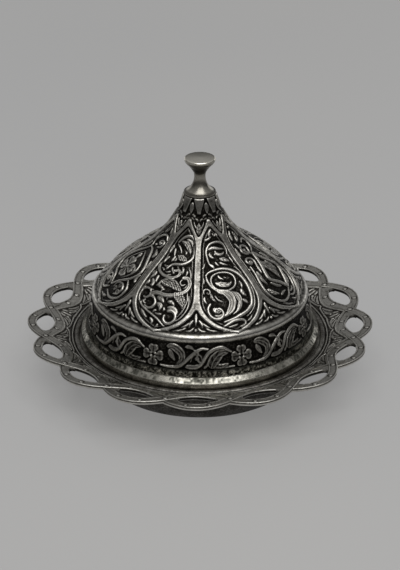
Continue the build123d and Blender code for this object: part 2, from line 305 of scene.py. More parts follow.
def smooth_line(points, closed=False, parts=7):
    """A smooth line through given points."""
    p = np.array(points, float)
    if len(p) == 2:
        return p[0] + np.outer(np.linspace(0, 1, 5), p[1] - p[0])
    if closed:
        p = np.vstack([p[-1], p, p[0], p[1]])
    else:
        p = np.vstack([2 * p[0] - p[1], p, 2 * p[-1] - p[-2]])
    t = np.linspace(0, 1, parts, endpoint=False)[:, None]
    out = []
    for a, b, c, d in zip(p, p[1:], p[2:], p[3:]):
        out.append(0.5 * (2 * b + (c - a) * t + (2 * a - 5 * b + 4 * c - d) * t**2 + (3 * b - a - 3 * c + d) * t**3))
    out.append(p[-2][None])
    return np.vstack(out)


def softened(field, cells):
    """A height field rubbed smooth over a number of cells."""
    reach = max(1, int(cells * 3))
    weight = np.exp(-((np.arange(-reach, reach + 1) / cells) ** 2) / 2)
    weight /= weight.sum()
    wide = np.pad(field, reach, mode="edge")
    down = sum(w * wide[i : i + field.shape[0]] for i, w in enumerate(weight))
    return sum(w * down[:, i : i + field.shape[1]] for i, w in enumerate(weight))


def mottle(across, up, size, seed):
    """Smooth random unevenness between -1 and 1, with lumps of a given size."""
    table = np.random.default_rng(seed).uniform(-1, 1, (509, 509))
    x, y = across / size, up / size
    i, j = np.floor(x).astype(int), np.floor(y).astype(int)
    fx, fy = x - i, y - j
    fx, fy = fx * fx * (3 - 2 * fx), fy * fy * (3 - 2 * fy)
    a, b = table[i % 509, j % 509], table[(i + 1) % 509, j % 509]
    c, d = table[i % 509, (j + 1) % 509], table[(i + 1) % 509, (j + 1) % 509]
    return (a * (1 - fx) + b * fx) * (1 - fy) + (c * (1 - fx) + d * fx) * fy


def bell(gap, width):
    """1 where the gap is nothing, falling towards 0 past a width."""
    return np.exp(-((gap / width) ** 2))


class Carving:
    """Relief on a grid of places, given in millimetres across and up."""

    def __init__(self, across, up):
        self.across, self.up = across, up
        self.height = np.zeros(across.shape)

    def follow(self, points, reach, closed=False):
        """The places near a line: how far off it, how far along, and on which side."""
        line = smooth_line(points, closed)
        low, high = line.min(0) - reach, line.max(0) + reach
        near = (self.across > low[0]) & (self.across < high[0]) & (self.up > low[1]) & (self.up < high[1])
        here = np.stack([self.across[near], self.up[near]], 1)
        steps = np.hypot(*np.diff(line, axis=0).T)
        walked = np.concatenate([[0], np.cumsum(steps)])
        best = np.full(len(here), 1e9)
        along = np.zeros(len(here))
        side = np.zeros(len(here))
        for i, (a, b) in enumerate(zip(line, line[1:])):
            run = b - a
            size = max(run @ run, 1e-9)
            t = limit((here - a) @ run / size)
            gap = here - a - t[:, None] * run
            far = np.hypot(gap[:, 0], gap[:, 1])
            closer = far < best
            best[closer] = far[closer]
            along[closer] = ((walked[i] + t * steps[i]) / walked[-1])[closer]
            side[closer] = (run[0] * gap[:, 1] - run[1] * gap[:, 0])[closer]
        return near, best, along, np.sign(side)

    def lay(self, near, height):
        """Raises the places to a height, where they aren't higher already."""
        self.height[near] = np.maximum(self.height[near], height)

    def stem(self, points, width, height, ends=(0.5, 0.5), closed=False):
        """A round stem that thins towards its ends."""
        near, far, along, _ = self.follow(points, width, closed)
        thick = np.ones_like(along) if closed else np.interp(along, (0, 0.2, 0.8, 1), (ends[0], 1, 1, ends[1]))
        q = far / (width / 2 * thick)
        self.lay(near, height * (0.6 + 0.4 * thick) * limit(1 - q**2.6) ** 0.5)

    def ribbon(self, points, width, height, groove=0.25):
        """A flat stem with a groove along its middle."""
        near, far, along, _ = self.follow(points, width)
        q = far / (width / 2)
        body = limit(1 - q**4) ** 0.5
        self.lay(near, height * body - groove * bell(far, 0.28) * (q < 1))

    def leaf(self, points, width, height, veins=0, hatch=0, lobes=0, bowl=0.4):
        """A leaf with a raised lip and midrib, with veins, hatching or lobes."""
        near, far, along, side = self.follow(points, width)
        swell = limit(np.sin(pi * along**0.7)) ** 0.7
        if lobes:
            swell = swell * (0.8 + 0.2 * np.abs(np.cos(pi * lobes * along)))
        half = np.maximum(width / 2 * swell, 0.02)
        q = limit(far / half)
        top = 1 - bowl * limit((0.84 - q) / 0.22) * (0.7 + 0.3 * (1 - q))
        rib = 0.22 * bell(far, 0.22) * (along < 0.9)
        if veins:
            cut = np.cos(2 * pi * (along * veins - q * 0.9))
            top = top - 0.2 * limit(cut) * (q > 0.12)
        if hatch:
            rows = np.cos(2 * pi * along * hatch) * np.cos(2 * pi * side * far / 1.15)
            top = top + 0.35 * (rows > 0) - 0.3 * (rows < 0)
        edge = limit((1 - q) * half / 0.28)
        self.lay(near, (height * top + rib) * edge**0.7 * (far < half))

    def bead(self, spot, across, height):
        """A small round boss."""
        q = np.hypot(self.across - spot[0], self.up - spot[1]) / across
        near = q < 1
        self.lay(near, height * np.sqrt(1 - q[near] ** 2))

    def petal(self, spot, way, length, height=0.75):
        """One heart-shaped petal of a flower, with a raised lip."""
        a = radians(way)
        out = ((self.across - spot[0]) * cos(a) + (self.up - spot[1]) * sin(a)) / length
        aside = np.abs((self.up - spot[1]) * cos(a) - (self.across - spot[0]) * sin(a)) / length
        q = np.minimum(np.hypot(out - 0.68, aside - 0.17) / 0.31, np.hypot((out - 0.45) / 1.2, aside) / 0.26)
        near = q < 1
        q = q[near]
        top = height * (0.5 + 0.5 * q**3) * limit((1 - q) * 5) ** 0.6
        self.lay(near, top - 0.18 * bell(aside[near] * length, 0.25))

    def pit(self, spot, across, depth):
        """A round hollow, deeper than the ground."""
        q = np.hypot(self.across - spot[0], self.up - spot[1]) / across
        self.height -= depth * limit(1 - q**3)

    def sprig(self, spot, way, step):
        """A small leaf that sets off at an angle and bends to the left."""
        points = [spot]
        for reach, turned in ((step, 0), (2 * step, 30)):
            a = radians(way + turned)
            points.append((spot[0] + reach * cos(a), spot[1] + reach * sin(a)))
        self.leaf(points, 1.2, 0.65)

    def volute(self, spot, size, turns, start, hand, width, height, eye, roll=0.8):
        """A stem that rolls up to a round eye."""
        walk = np.linspace(0, 1, int(10 * turns) + 2)
        reach = size * (1 - roll * walk)
        angle = radians(start) + hand * 2 * pi * turns * walk
        points = [(spot[0] + r * cos(a), spot[1] + r * sin(a)) for r, a in zip(reach, angle)]
        self.stem(points, width, height, ends=(0.9, 0.8))
        if eye:
            self.bead(spot, eye, height=height)


def rows_of(mesh):
    """Which point of its spun outline every vertex comes from."""
    row = np.empty(len(mesh.vertices), int)
    mesh.attributes["row"].data.foreach_get("value", row)
    return row


def read_grid(grid, row, column, otherwise):
    """What a grid says at every vertex, and a plain value for rows that it lacks."""
    return np.where(row < len(grid), grid[np.minimum(row, len(grid) - 1), column], otherwise)


def on_side(side, *points):
    """Points on the right (1), or the same on the left (-1)."""
    return [(side * u, s) for u, s in points]


def hollows(height, cells, strength, level, ground, full=0.5):
    """How dark the plate is: darker below its surroundings, and on the ground."""
    sunk = softened(height, cells) - height
    return level + strength * sunk + ground * limit(1 - height / full) ** 0.8


cusp = 360 / hole_count
web_line = [(plate_inner + web_reach * i / web_rows, plate_start) for i in range(web_rows + 1)]
web_line += [(plate_inner + web_reach * i / 6, plate_start - 2) for i in range(6, -1, -1)]
bm = spun(web_line, web_columns)
plate = piece("dish_plate", bm, dish_silver, "dish", "dish", crease=80)
radius, turn, height = places(plate.data)
row = rows_of(plate.data)
column = np.round(turn * web_columns / 360).astype(int) % web_columns
share = (radius - plate_inner) / web_reach
new_radius = web_start + share * (beside_weave(turn, web_under_strap) - web_start)

# The same places as a grid: how far along from the nearest corner, and how far out.
turns = np.arange(web_columns) * 360 / web_columns
grid_share = np.arange(web_rows + 1)[:, None] / web_rows
grid_up = web_start + grid_share * (beside_weave(turns, web_under_strap) - web_start)
web = Carving(np.radians(turns % cusp - cusp / 2) * grid_up, grid_up)
web.stem([(-16, 65.3), (0, 65.3), (16, 65.3)], 0.7, 0.4, ends=(1, 1))
scallop = [(15, 67.6), (13.3, 68.3), (11.6, 67.4), (8.5, 66.9), (4, 66.8), (0, 67.1)]
for side in (-1, 1):
    web.stem(on_side(side, *scallop), 0.8, 0.42, ends=(1, 1))
    web.leaf(on_side(side, (11.0, 68.2), (8.6, 68.9), (6.2, 70.4), (4.3, 72.4)), 1.6, 0.3)
    web.stem(on_side(side, (9.6, 67.8), (7.2, 67.9), (5.2, 69.0), (3.6, 71.0)), 0.6, 0.34)
    web.leaf(on_side(side, (6.4, 67.6), (4.4, 68.2), (2.4, 69.6)), 1.5, 0.4)
    web.bead((side * 2.6, 69.6), 0.75, height=0.42)
    web.leaf(on_side(side, (2.4, 70.6), (2.3, 72.2), (1.2, 74.0)), 1.2, 0.3)
web.leaf([(0, 68.2), (0, 70.6), (0, 73.8)], 1.4, 0.3)
# The border of the strap beside it lies partly on the web.
strap_edge = beside_weave(turns, strap_width / 2)
rim = limit((grid_up - strap_edge + 1.0) / 0.25)
web.height = np.maximum(web.height * limit((strap_edge - 1.25 - grid_up) / 0.3), 0.62 * rim)
fade = limit((grid_up - 64.4) / 0.3)
lumps = mottle(np.radians(turns)[None, :] * grid_up, grid_up, 0.75, 5)
web_height = softened(web.height * fade, 0.5) + 0.04 * lumps * fade
# Tarnish in the hollows, and painted shade that darkens the web towards the seat, beside the lid.
web_dark = hollows(web_height, 2.6, 1.5, 0.44, 0.16, 0.3) + 0.14 * limit((69.5 - grid_up) / 3)

lift = read_grid(web_height, row, column, web_drop - plate_thickness)
settle(plate.data, new_radius, turn, plate_height(new_radius) - web_drop + lift)
darken(plate.data, read_grid(web_dark, row, column, 0.5))


# WOVEN STRAPS
# Two wavy straps cross between the 16 holes, over and under by turns. They are
# cast with the dish. Each has a raised border on both sides and small beads.

strap_depth = 2.25
strap_border = 0.75
strap_sink = 0.26
strap_lift = 0.22
strap_columns = 1440
bead_step = 7.5
bead_height = 0.42
strap_silver = aged_silver("strap_silver", cast_tones, gloss=0.25, dull=0.6, patches=0.2, specks=0.28)


def mirrored(half):
    """The other half of an outline, from its end back to its start."""
    return [(-u, s) for u, s in reversed(half)]


across_top = np.linspace(-1, 1, 23) * strap_width / 2
strap_side = [(2.25, -0.8), (2.15, -1.6), (1.75, -2.15)]
strap_section = [(a, 0.0) for a in across_top] + strap_side + [(0, -strap_depth)] + mirrored(strap_side)
for name, sign in (("dish_strap_outer_start", 1), ("dish_strap_inner_start", -1)):
    bm = spun([(strap_mid + a, 26 + b) for a, b in strap_section], strap_columns)
    strap = piece(name, bm, strap_silver, "dish", "dish", crease=70)
    radius, turn, height = places(strap.data)
    row = rows_of(strap.data)
    across, drop = np.array(strap_section)[row].T
    phase = np.radians(waves * turn)
    middle = strap_mid + sign * strap_swing * np.cos(phase)
    slope = -waves * sign * strap_swing * np.sin(phase)
    length = np.hypot(middle, slope)
    # A point beside the wavy line: out along the radius, and round by the rest.
    out = middle + across * middle / length
    round_by = -across * slope / length
    new_radius = np.hypot(out, round_by)
    new_turn = turn + np.degrees(np.arctan2(round_by, out))
    over = sign * np.sin(phase)
    top = row < len(across_top)
    from_edge = strap_width / 2 - np.abs(across)
    # Towards the web, an inner lobe's border lies mostly on the web.
    toward_web = limit(-sign * np.cos(phase)) * (across < 0)
    border = limit((strap_border - 0.4 * toward_web + 0.12 - from_edge) / 0.24)
    shoulder = 0.25 * limit(1 - from_edge / 0.35) ** 2 * (toward_web < 0.1)
    lines = 0.035 * np.cos(2 * pi * across / 0.62) * (1 - border)
    relief = -strap_sink * (1 - border) - shoulder + lines
    # Beads lie on the middle line, six in each wave of the strap.
    beat_mm = np.radians(turn % bead_step - bead_step / 2) * middle
    q = np.hypot(beat_mm / 0.85, across / 1.0)
    relief = np.maximum(relief, -strap_sink + bead_height * np.sqrt(limit(1 - q**2)))
    wobble = 0.05 * mottle(np.radians(turn) * 79 + 300, across + 40 + sign * 9, 1.3, 8)
    base = plate_height(new_radius) + 0.1 + strap_lift * over
    new_height = np.where(top, base + relief + wobble, base + drop)
    settle(strap.data, new_radius, new_turn, new_height)
    # Painted shade under a crossing and on the walls that face a hole, tarnish in the groove, beside the borders and
    # round each bead, lighter on the beads' tops, and on the outer walls a painted dark band above a painted
    # highlight on the lower lip.
    crossing = np.abs(over) ** 10 * (over < 0)
    groove = (1 - border) * 0.03
    wall = bell(from_edge - strap_border + 0.4 * toward_web - 0.15, 0.25) * 0.3
    ring = 0.4 * bell(q - 1.3, 0.3) - 0.22 * (q < 0.85)
    hole_wall_shade = (across * sign * np.cos(phase) < 0) * (np.abs(across) > 2)
    side_wall = np.interp(-drop, (0, 0.8, 1.6, 2.2), (0.4, 0.78, 0.0, 0.3)) * (1 - hole_wall_shade)
    on_top = 0.33 + groove + wall + ring + 0.12 * crossing
    darken(strap.data, np.where(top, on_top, side_wall + 0.85 * hole_wall_shade))

# The corner at each end of a hole is cast full, with a rounded edge.
tip_reach = 5.66
tip_radius = 1.8
tip_thickness = 1.9
tip_bend = np.radians(np.linspace(-66, 66, 11))
bm = bmesh.new()
for way in (-1, 1):
    outline = [(way * (tip_reach + tip_radius * (1 - cos(a))), tip_radius * sin(a)) for a in tip_bend]
    outline += [(way * 5.8, 3.4), (way * 2.5, 1.6), (0, 0), (way * 2.5, -1.6), (way * 5.8, -3.4)]
    corners = []
    for along, out in outline:
        r, a = strap_mid + out, radians(cusp / 2) + along / strap_mid
        corners.append(bm.verts.new((r * sin(a) / 1000, -r * cos(a) / 1000, (plate_height(r) - 0.05) / 1000)))
    top_face = bm.faces.new(corners)
    under = bmesh.ops.extrude_face_region(bm, geom=[top_face], use_keep_orig=True)
    lowered = [v for v in under["geom"] if isinstance(v, bmesh.types.BMVert)]
    bmesh.ops.translate(bm, verts=lowered, vec=(0, 0, -tip_thickness / 1000))
first_pair = bm.verts[:] + bm.edges[:] + bm.faces[:]
for k in range(1, hole_count):
    copy = bmesh.ops.duplicate(bm, geom=first_pair)
    dots = [v for v in copy["geom"] if isinstance(v, bmesh.types.BMVert)]
    bmesh.ops.rotate(bm, verts=dots, cent=(0, 0, 0), matrix=Matrix.Rotation(radians(k * cusp), 3, "Z"))
bmesh.ops.recalc_face_normals(bm, faces=bm.faces[:])
tips = piece("dish_hole_tips", bm, strap_silver, "dish", "dish")
radius, turn, height = places(tips.data)
# The tips' walls go dark towards their undersides as painted shade.
darken(tips.data, np.where(height > plate_height(radius) - 1, 0.42, 0.85))


# LID EDGE, FLANGE AND ROUGH BAND
# The lower part of the lid casting: a plain upright edge, a polished sloping
# flange, and a narrow band that was left rough from the mould.

lid_turn = -1.4
lid_radius = 60.7
edge_top = 24.3
flange_radius = 58.3
flange_top = 26.7
band_radius = 57.9
band_top = 30.0
frieze_start = band_top + 0.3
frieze_low = 57.0
frieze_high = 54.7
frieze_top = 43.6
dome_radius = 52.2
dome_foot = 47.6
crown = 99.4
edge_wall = 2.3

lid_tones = [
    (0.0, (0.52, 0.505, 0.465)),
    (0.3, (0.29, 0.28, 0.255)),
    (0.5, (0.165, 0.158, 0.142)),
    (0.68, (0.055, 0.052, 0.046)),
    (0.85, (0.015, 0.0135, 0.011)),
    (1.0, (0.006, 0.0055, 0.0045)),
]
lid_silver = aged_silver("lid_silver", lid_tones, gloss=0.24, dull=0.62, patches=0.3, specks=0.3)
edge_tones = [
    (0.0, (0.52, 0.50, 0.445)),
    (0.35, (0.31, 0.30, 0.262)),
    (0.6, (0.11, 0.109, 0.092)),
    (1.0, (0.014, 0.013, 0.01)),
]
flange_silver = aged_silver(
    "flange_silver", edge_tones, gloss=0.2, dull=0.5, patches=0.3, specks=0.22, dents=0.000012, grain=700
)


def stretch(start, end, gap):
    """Points along a straight line, a given gap apart, without its end."""
    a, b = np.array(start, float), np.array(end, float)
    count = max(1, round(np.hypot(*(b - a)) / gap))
    return [tuple(a + (b - a) * i / count) for i in range(count)]


edge_line = [(lid_radius - edge_wall, ledge_height), (lid_radius - 0.35, ledge_height)]
edge_line += [(lid_radius, ledge_height + 0.4)]
edge_line += stretch((lid_radius, ledge_height + 0.9), (lid_radius, edge_top - 0.35), 0.5)
edge_line += bowed((lid_radius, edge_top - 0.35), (lid_radius - 0.3, edge_top + 0.28), 0.1, 4)[:-1]
edge_line += stretch((lid_radius - 0.3, edge_top + 0.28), (flange_radius + 0.12, flange_top - 0.15), 0.4)
edge_line += stretch((flange_radius, flange_top), (band_radius, band_top - 0.2), 0.28)
edge_line += [(band_radius - 0.25, band_top + 0.1)]
edge_line += [(frieze_low - 0.2, frieze_start), (frieze_low - 1.8, frieze_start)]
edge_line += [(flange_radius - edge_wall, flange_top - 0.6), (lid_radius - edge_wall, edge_top - 0.8)]
bm = spun(edge_line, 1280)
edge = piece("lid_edge", bm, flange_silver, "lid", "lid_shell", crease=50)
radius, turn, height = places(edge.data)
outer = radius > 56.4
above_flange = limit((height - flange_top) / 0.25)
in_band = outer * above_flange * limit((band_top + 0.1 - height) / 0.2)
arc = np.radians(turn) * 58 + 400
rough_cast = 0.6 * mottle(arc, height, 0.55, 11) + 0.5 * mottle(arc, height, 1.3, 12)
worn = mottle(arc, height, 0.8, 13) * 0.5 + mottle(arc, height, 4.5, 14) * 0.5
radius = radius + in_band * 0.19 * rough_cast - outer * 0.02 * (1 - in_band)
settle(edge.data, radius, turn, height)
upright = limit((edge_top + 0.1 - height) / 0.4)
slope_share = limit((height - edge_top) / 0.3) * limit((flange_top + 0.2 - height) / 0.6)
# The upright wall is kept light as a painted reflection of the plate below it.
dark = (0.1 + 0.06 * worn) * upright + slope_share * (0.44 + 0.6 * worn)
dark = dark + in_band * (0.68 - 0.95 * rough_cast + 0.35 * worn)
dark = np.where(height > band_top, 0.9, dark)
darken(edge.data, np.where(outer, dark, 0.6))


# FRIEZE
# A band of relief round the lid, cast with it: eight four-petal flowers, with
# crossing stems and curled leaves between each pair, on a stippled ground.

frieze_columns = 1400
frieze_rows = 56
flower_step = 45
# The flowers stand a little to the right of the panels above them.
flower_turn = lid_turn + 0.8
flower_middle = 35.9
rows_up = np.linspace(frieze_start, frieze_top, frieze_rows + 1)
frieze_line = list(zip(np.linspace(frieze_low, frieze_high, frieze_rows + 1), rows_up))
frieze_line += [(frieze_high - 1.2, frieze_top), (frieze_low - 1.6, frieze_start)]
bm = spun(frieze_line, frieze_columns)
frieze = piece("lid_frieze", bm, lid_silver, "lid", "lid_shell", crease=80)
radius, turn, height = places(frieze.data)
row = rows_of(frieze.data)
column = np.round(turn * frieze_columns / 360).astype(int) % frieze_columns
turns = np.arange(frieze_columns) * 360 / frieze_columns
per_degree = radians(1) * 55.9
from_flower = (turns - flower_turn) % flower_step - flower_step / 2
across = np.repeat(from_flower[None, :] * per_degree, frieze_rows + 1, 0)
band = Carving(across, np.repeat(rows_up[:, None], frieze_columns, 1))
# The flower and its leaves, in degrees and height, then the same a step on each side.
for k in (-1, 0, 1):
    def at(points, k=k):
        return [((f + k * flower_step) * per_degree, z) for f, z in points]

    band.stem(at([(-28, 31.6), (-24.5, 30.9), (-20.5, 33.2), (-16.5, 39.0), (-10.5, 41.2), (-5.2, 38.6)]), 2.0, 0.75)
    band.stem(at([(-20.3, 33.2), (-22.5, 36.0), (-22.2, 38.9), (-24.2, 40.4)]), 1.4, 0.65)
    band.stem(at([(4.3, 31.4), (9.5, 31.0), (14.5, 32.4), (20.5, 38.2), (24.5, 40.8), (28, 40.6)]), 2.0, 0.75)
    band.leaf(at([(-15.6, 30.9), (-14.4, 34.6), (-10.8, 38.2), (-6.6, 38.2)]), 5.6, 0.75, veins=4, bowl=0.55)
    band.leaf(at([(-14.6, 32.0), (-10.5, 31.0), (-6.6, 33.0)]), 4.0, 0.72, veins=3, bowl=0.55)
    band.leaf(
        at([(7.0, 41.4), (10.8, 41.3), (14.6, 38.4), (14.6, 34.6), (11.2, 31.8)]),
        3.9, 0.75, veins=5, bowl=0.55,
    )
    band.leaf(at([(8.2, 39.8), (9.8, 37.0), (11.6, 34.2)]), 2.6, 0.65)
    band.leaf(at([(16.4, 41.8), (19.0, 41.6), (21.2, 40.4)]), 2.0, 0.6)
    band.leaf(at([(17.0, 32.4), (20.4, 31.8), (23.4, 33.4)]), 2.0, 0.6)
    band.bead(*at([(22.5, 36.0)]), 1.25, height=0.75)
    band.stem(at([(19.3, 34.2), (20.2, 36.6), (22.5, 38.2), (24.6, 36.9), (24.8, 34.9)]), 0.7, 0.5)
    band.leaf(at([(-19.3, 31.0), (-17.6, 32.6), (-17.2, 34.6)]), 1.5, 0.6)
    band.leaf(at([(-3.4, 31.2), (-6.2, 31.0), (-9.4, 31.0)]), 1.4, 0.5)
    for way in (0, 90, 180, 270):
        band.petal(*at([(0, flower_middle)]), way, 5.4)
    for aside in (-1, 1):
        for above in (-0.9, 0.9):
            band.bead(*at([(aside, flower_middle + above)]), 0.72, height=0.8)
around = np.radians(turns)[None, :] * 56 + 400
ground = mottle(around, rows_up[:, None], 0.62, 21) * 0.11 - 0.02
relief = np.maximum(softened(band.height, 0.55), 0)
relief = relief + ground * np.clip(1 - relief / 0.35, 0.15, 1)
end_fade = limit((rows_up - frieze_start) / 0.5) * limit((frieze_top - rows_up) / 0.5)
relief = relief * end_fade[:, None]
lift = read_grid(relief, row, column, 0)
settle(frieze.data, radius + lift * 0.986, turn, height + lift * 0.17)
darken(frieze.data, read_grid(hollows(relief, 2.8, 1.5, 0.46, 0.42), row, column, 0.6))


# RING BEAD
# A plain polished ring between the frieze and the dome, cast with the lid and
# rubbed bright by handling.

ring_bulge = 1.35
ring_silver = aged_silver(
    "ring_silver", lid_tones, gloss=0.2, dull=0.5, patches=0.3, specks=0.25, dents=0.000015, grain=800
)
ring_line = bowed((frieze_high, frieze_top), (dome_radius, dome_foot), ring_bulge, 15)
ring_line += [(dome_radius - 1.6, dome_foot + 0.3), (frieze_high - 1.8, frieze_top)]
bm = spun(ring_line, 640)
ring = piece("lid_ring", bm, ring_silver, "lid", "lid_shell", crease=50)
radius, turn, height = places(ring.data)
arc = np.radians(turn) * 55 + 400
dents = mottle(arc, height, 2.2, 31)
settle(ring.data, radius + 0.05 * dents, turn, height)
ends = bell(height - frieze_top, 0.5) + bell(height - dome_foot, 0.5)
darken(ring.data, 0.08 + 0.5 * ends + 0.14 * mottle(arc, height, 1.4, 32))


# DOME
# The ogee dome with eight panels inside raised straps, cast with the lid. Four
# designs of scrolls and leaves follow each other twice round the lid.

dome_joint = (28.5, 69.8)
neck_radius = 7.6
belly_bulge = 1.5
hollow_bulge = 3.555
skirt_rows = 8
panel_columns = 154
panel_half = radians(22.5)
strap_top = 0.9

# The relief starts a few rows down, on the upper half of the ring.
dome_line = bowed((frieze_high, frieze_top), (dome_radius, dome_foot), ring_bulge, 17)[16 - skirt_rows : 16]
dome_line += bowed((dome_radius, dome_foot), dome_joint, belly_bulge, 122)[:-1]
dome_line += bowed(dome_joint, (neck_radius, crown), -hollow_bulge, 139)
dome_points = np.array(dome_line)
dome_rows = len(dome_line)
dome_up = np.concatenate([[0], np.cumsum(np.hypot(*np.diff(dome_points, axis=0).T))])
dome_up -= dome_up[skirt_rows]


def inside(shape, across, up):
    """Distance to the outline of a shape, above 0 outside it and below 0 inside."""
    line = smooth_line(shape, closed=True, parts=5)
    best = np.full(across.shape, 1e9)
    odd = np.zeros(across.shape, bool)
    for a, b in zip(line, line[1:]):
        run = b - a
        size = max(run @ run, 1e-9)
        t = limit(((across - a[0]) * run[0] + (up - a[1]) * run[1]) / size)
        best = np.minimum(best, np.hypot(across - a[0] - t * run[0], up - a[1] - t * run[1]))
        crosses = (a[1] > up) != (b[1] > up)
        if run[1] != 0:
            odd ^= crosses & (across < a[0] + (up - a[1]) * run[0] / run[1])
    return np.where(odd, -best, best)


half_window = [(2.4, 0.9), (6.4, 2.6), (10.6, 5.4), (13.6, 9.4), (14.6, 14.2), (13.5, 20), (11.9, 25.2)]
half_window += [(10.3, 30.2), (8.7, 35.2), (7.3, 40), (6.0, 45), (4.3, 49.4), (2.0, 53.0)]
window = [(0, 0.1)] + half_window + [(0, 55.2)] + mirrored(half_window)
half_fork = [(2.0, 8.6), (5.2, 5.4), (9.0, 2.6), (13.4, 0.6)]
fork_foot = [(10, 0.15), (4, 0.1)]
fork = [(0, 11.2)] + half_fork + fork_foot + [(0, 0.1)] + mirrored(fork_foot) + mirrored(half_fork)
half_top = [(1.6, 53.2), (2.9, 56.4), (3.5, 59.2), (2.2, 60.4)]
top_fork = [(0, 50.6)] + half_top + [(0, 60.8)] + mirrored(half_top)


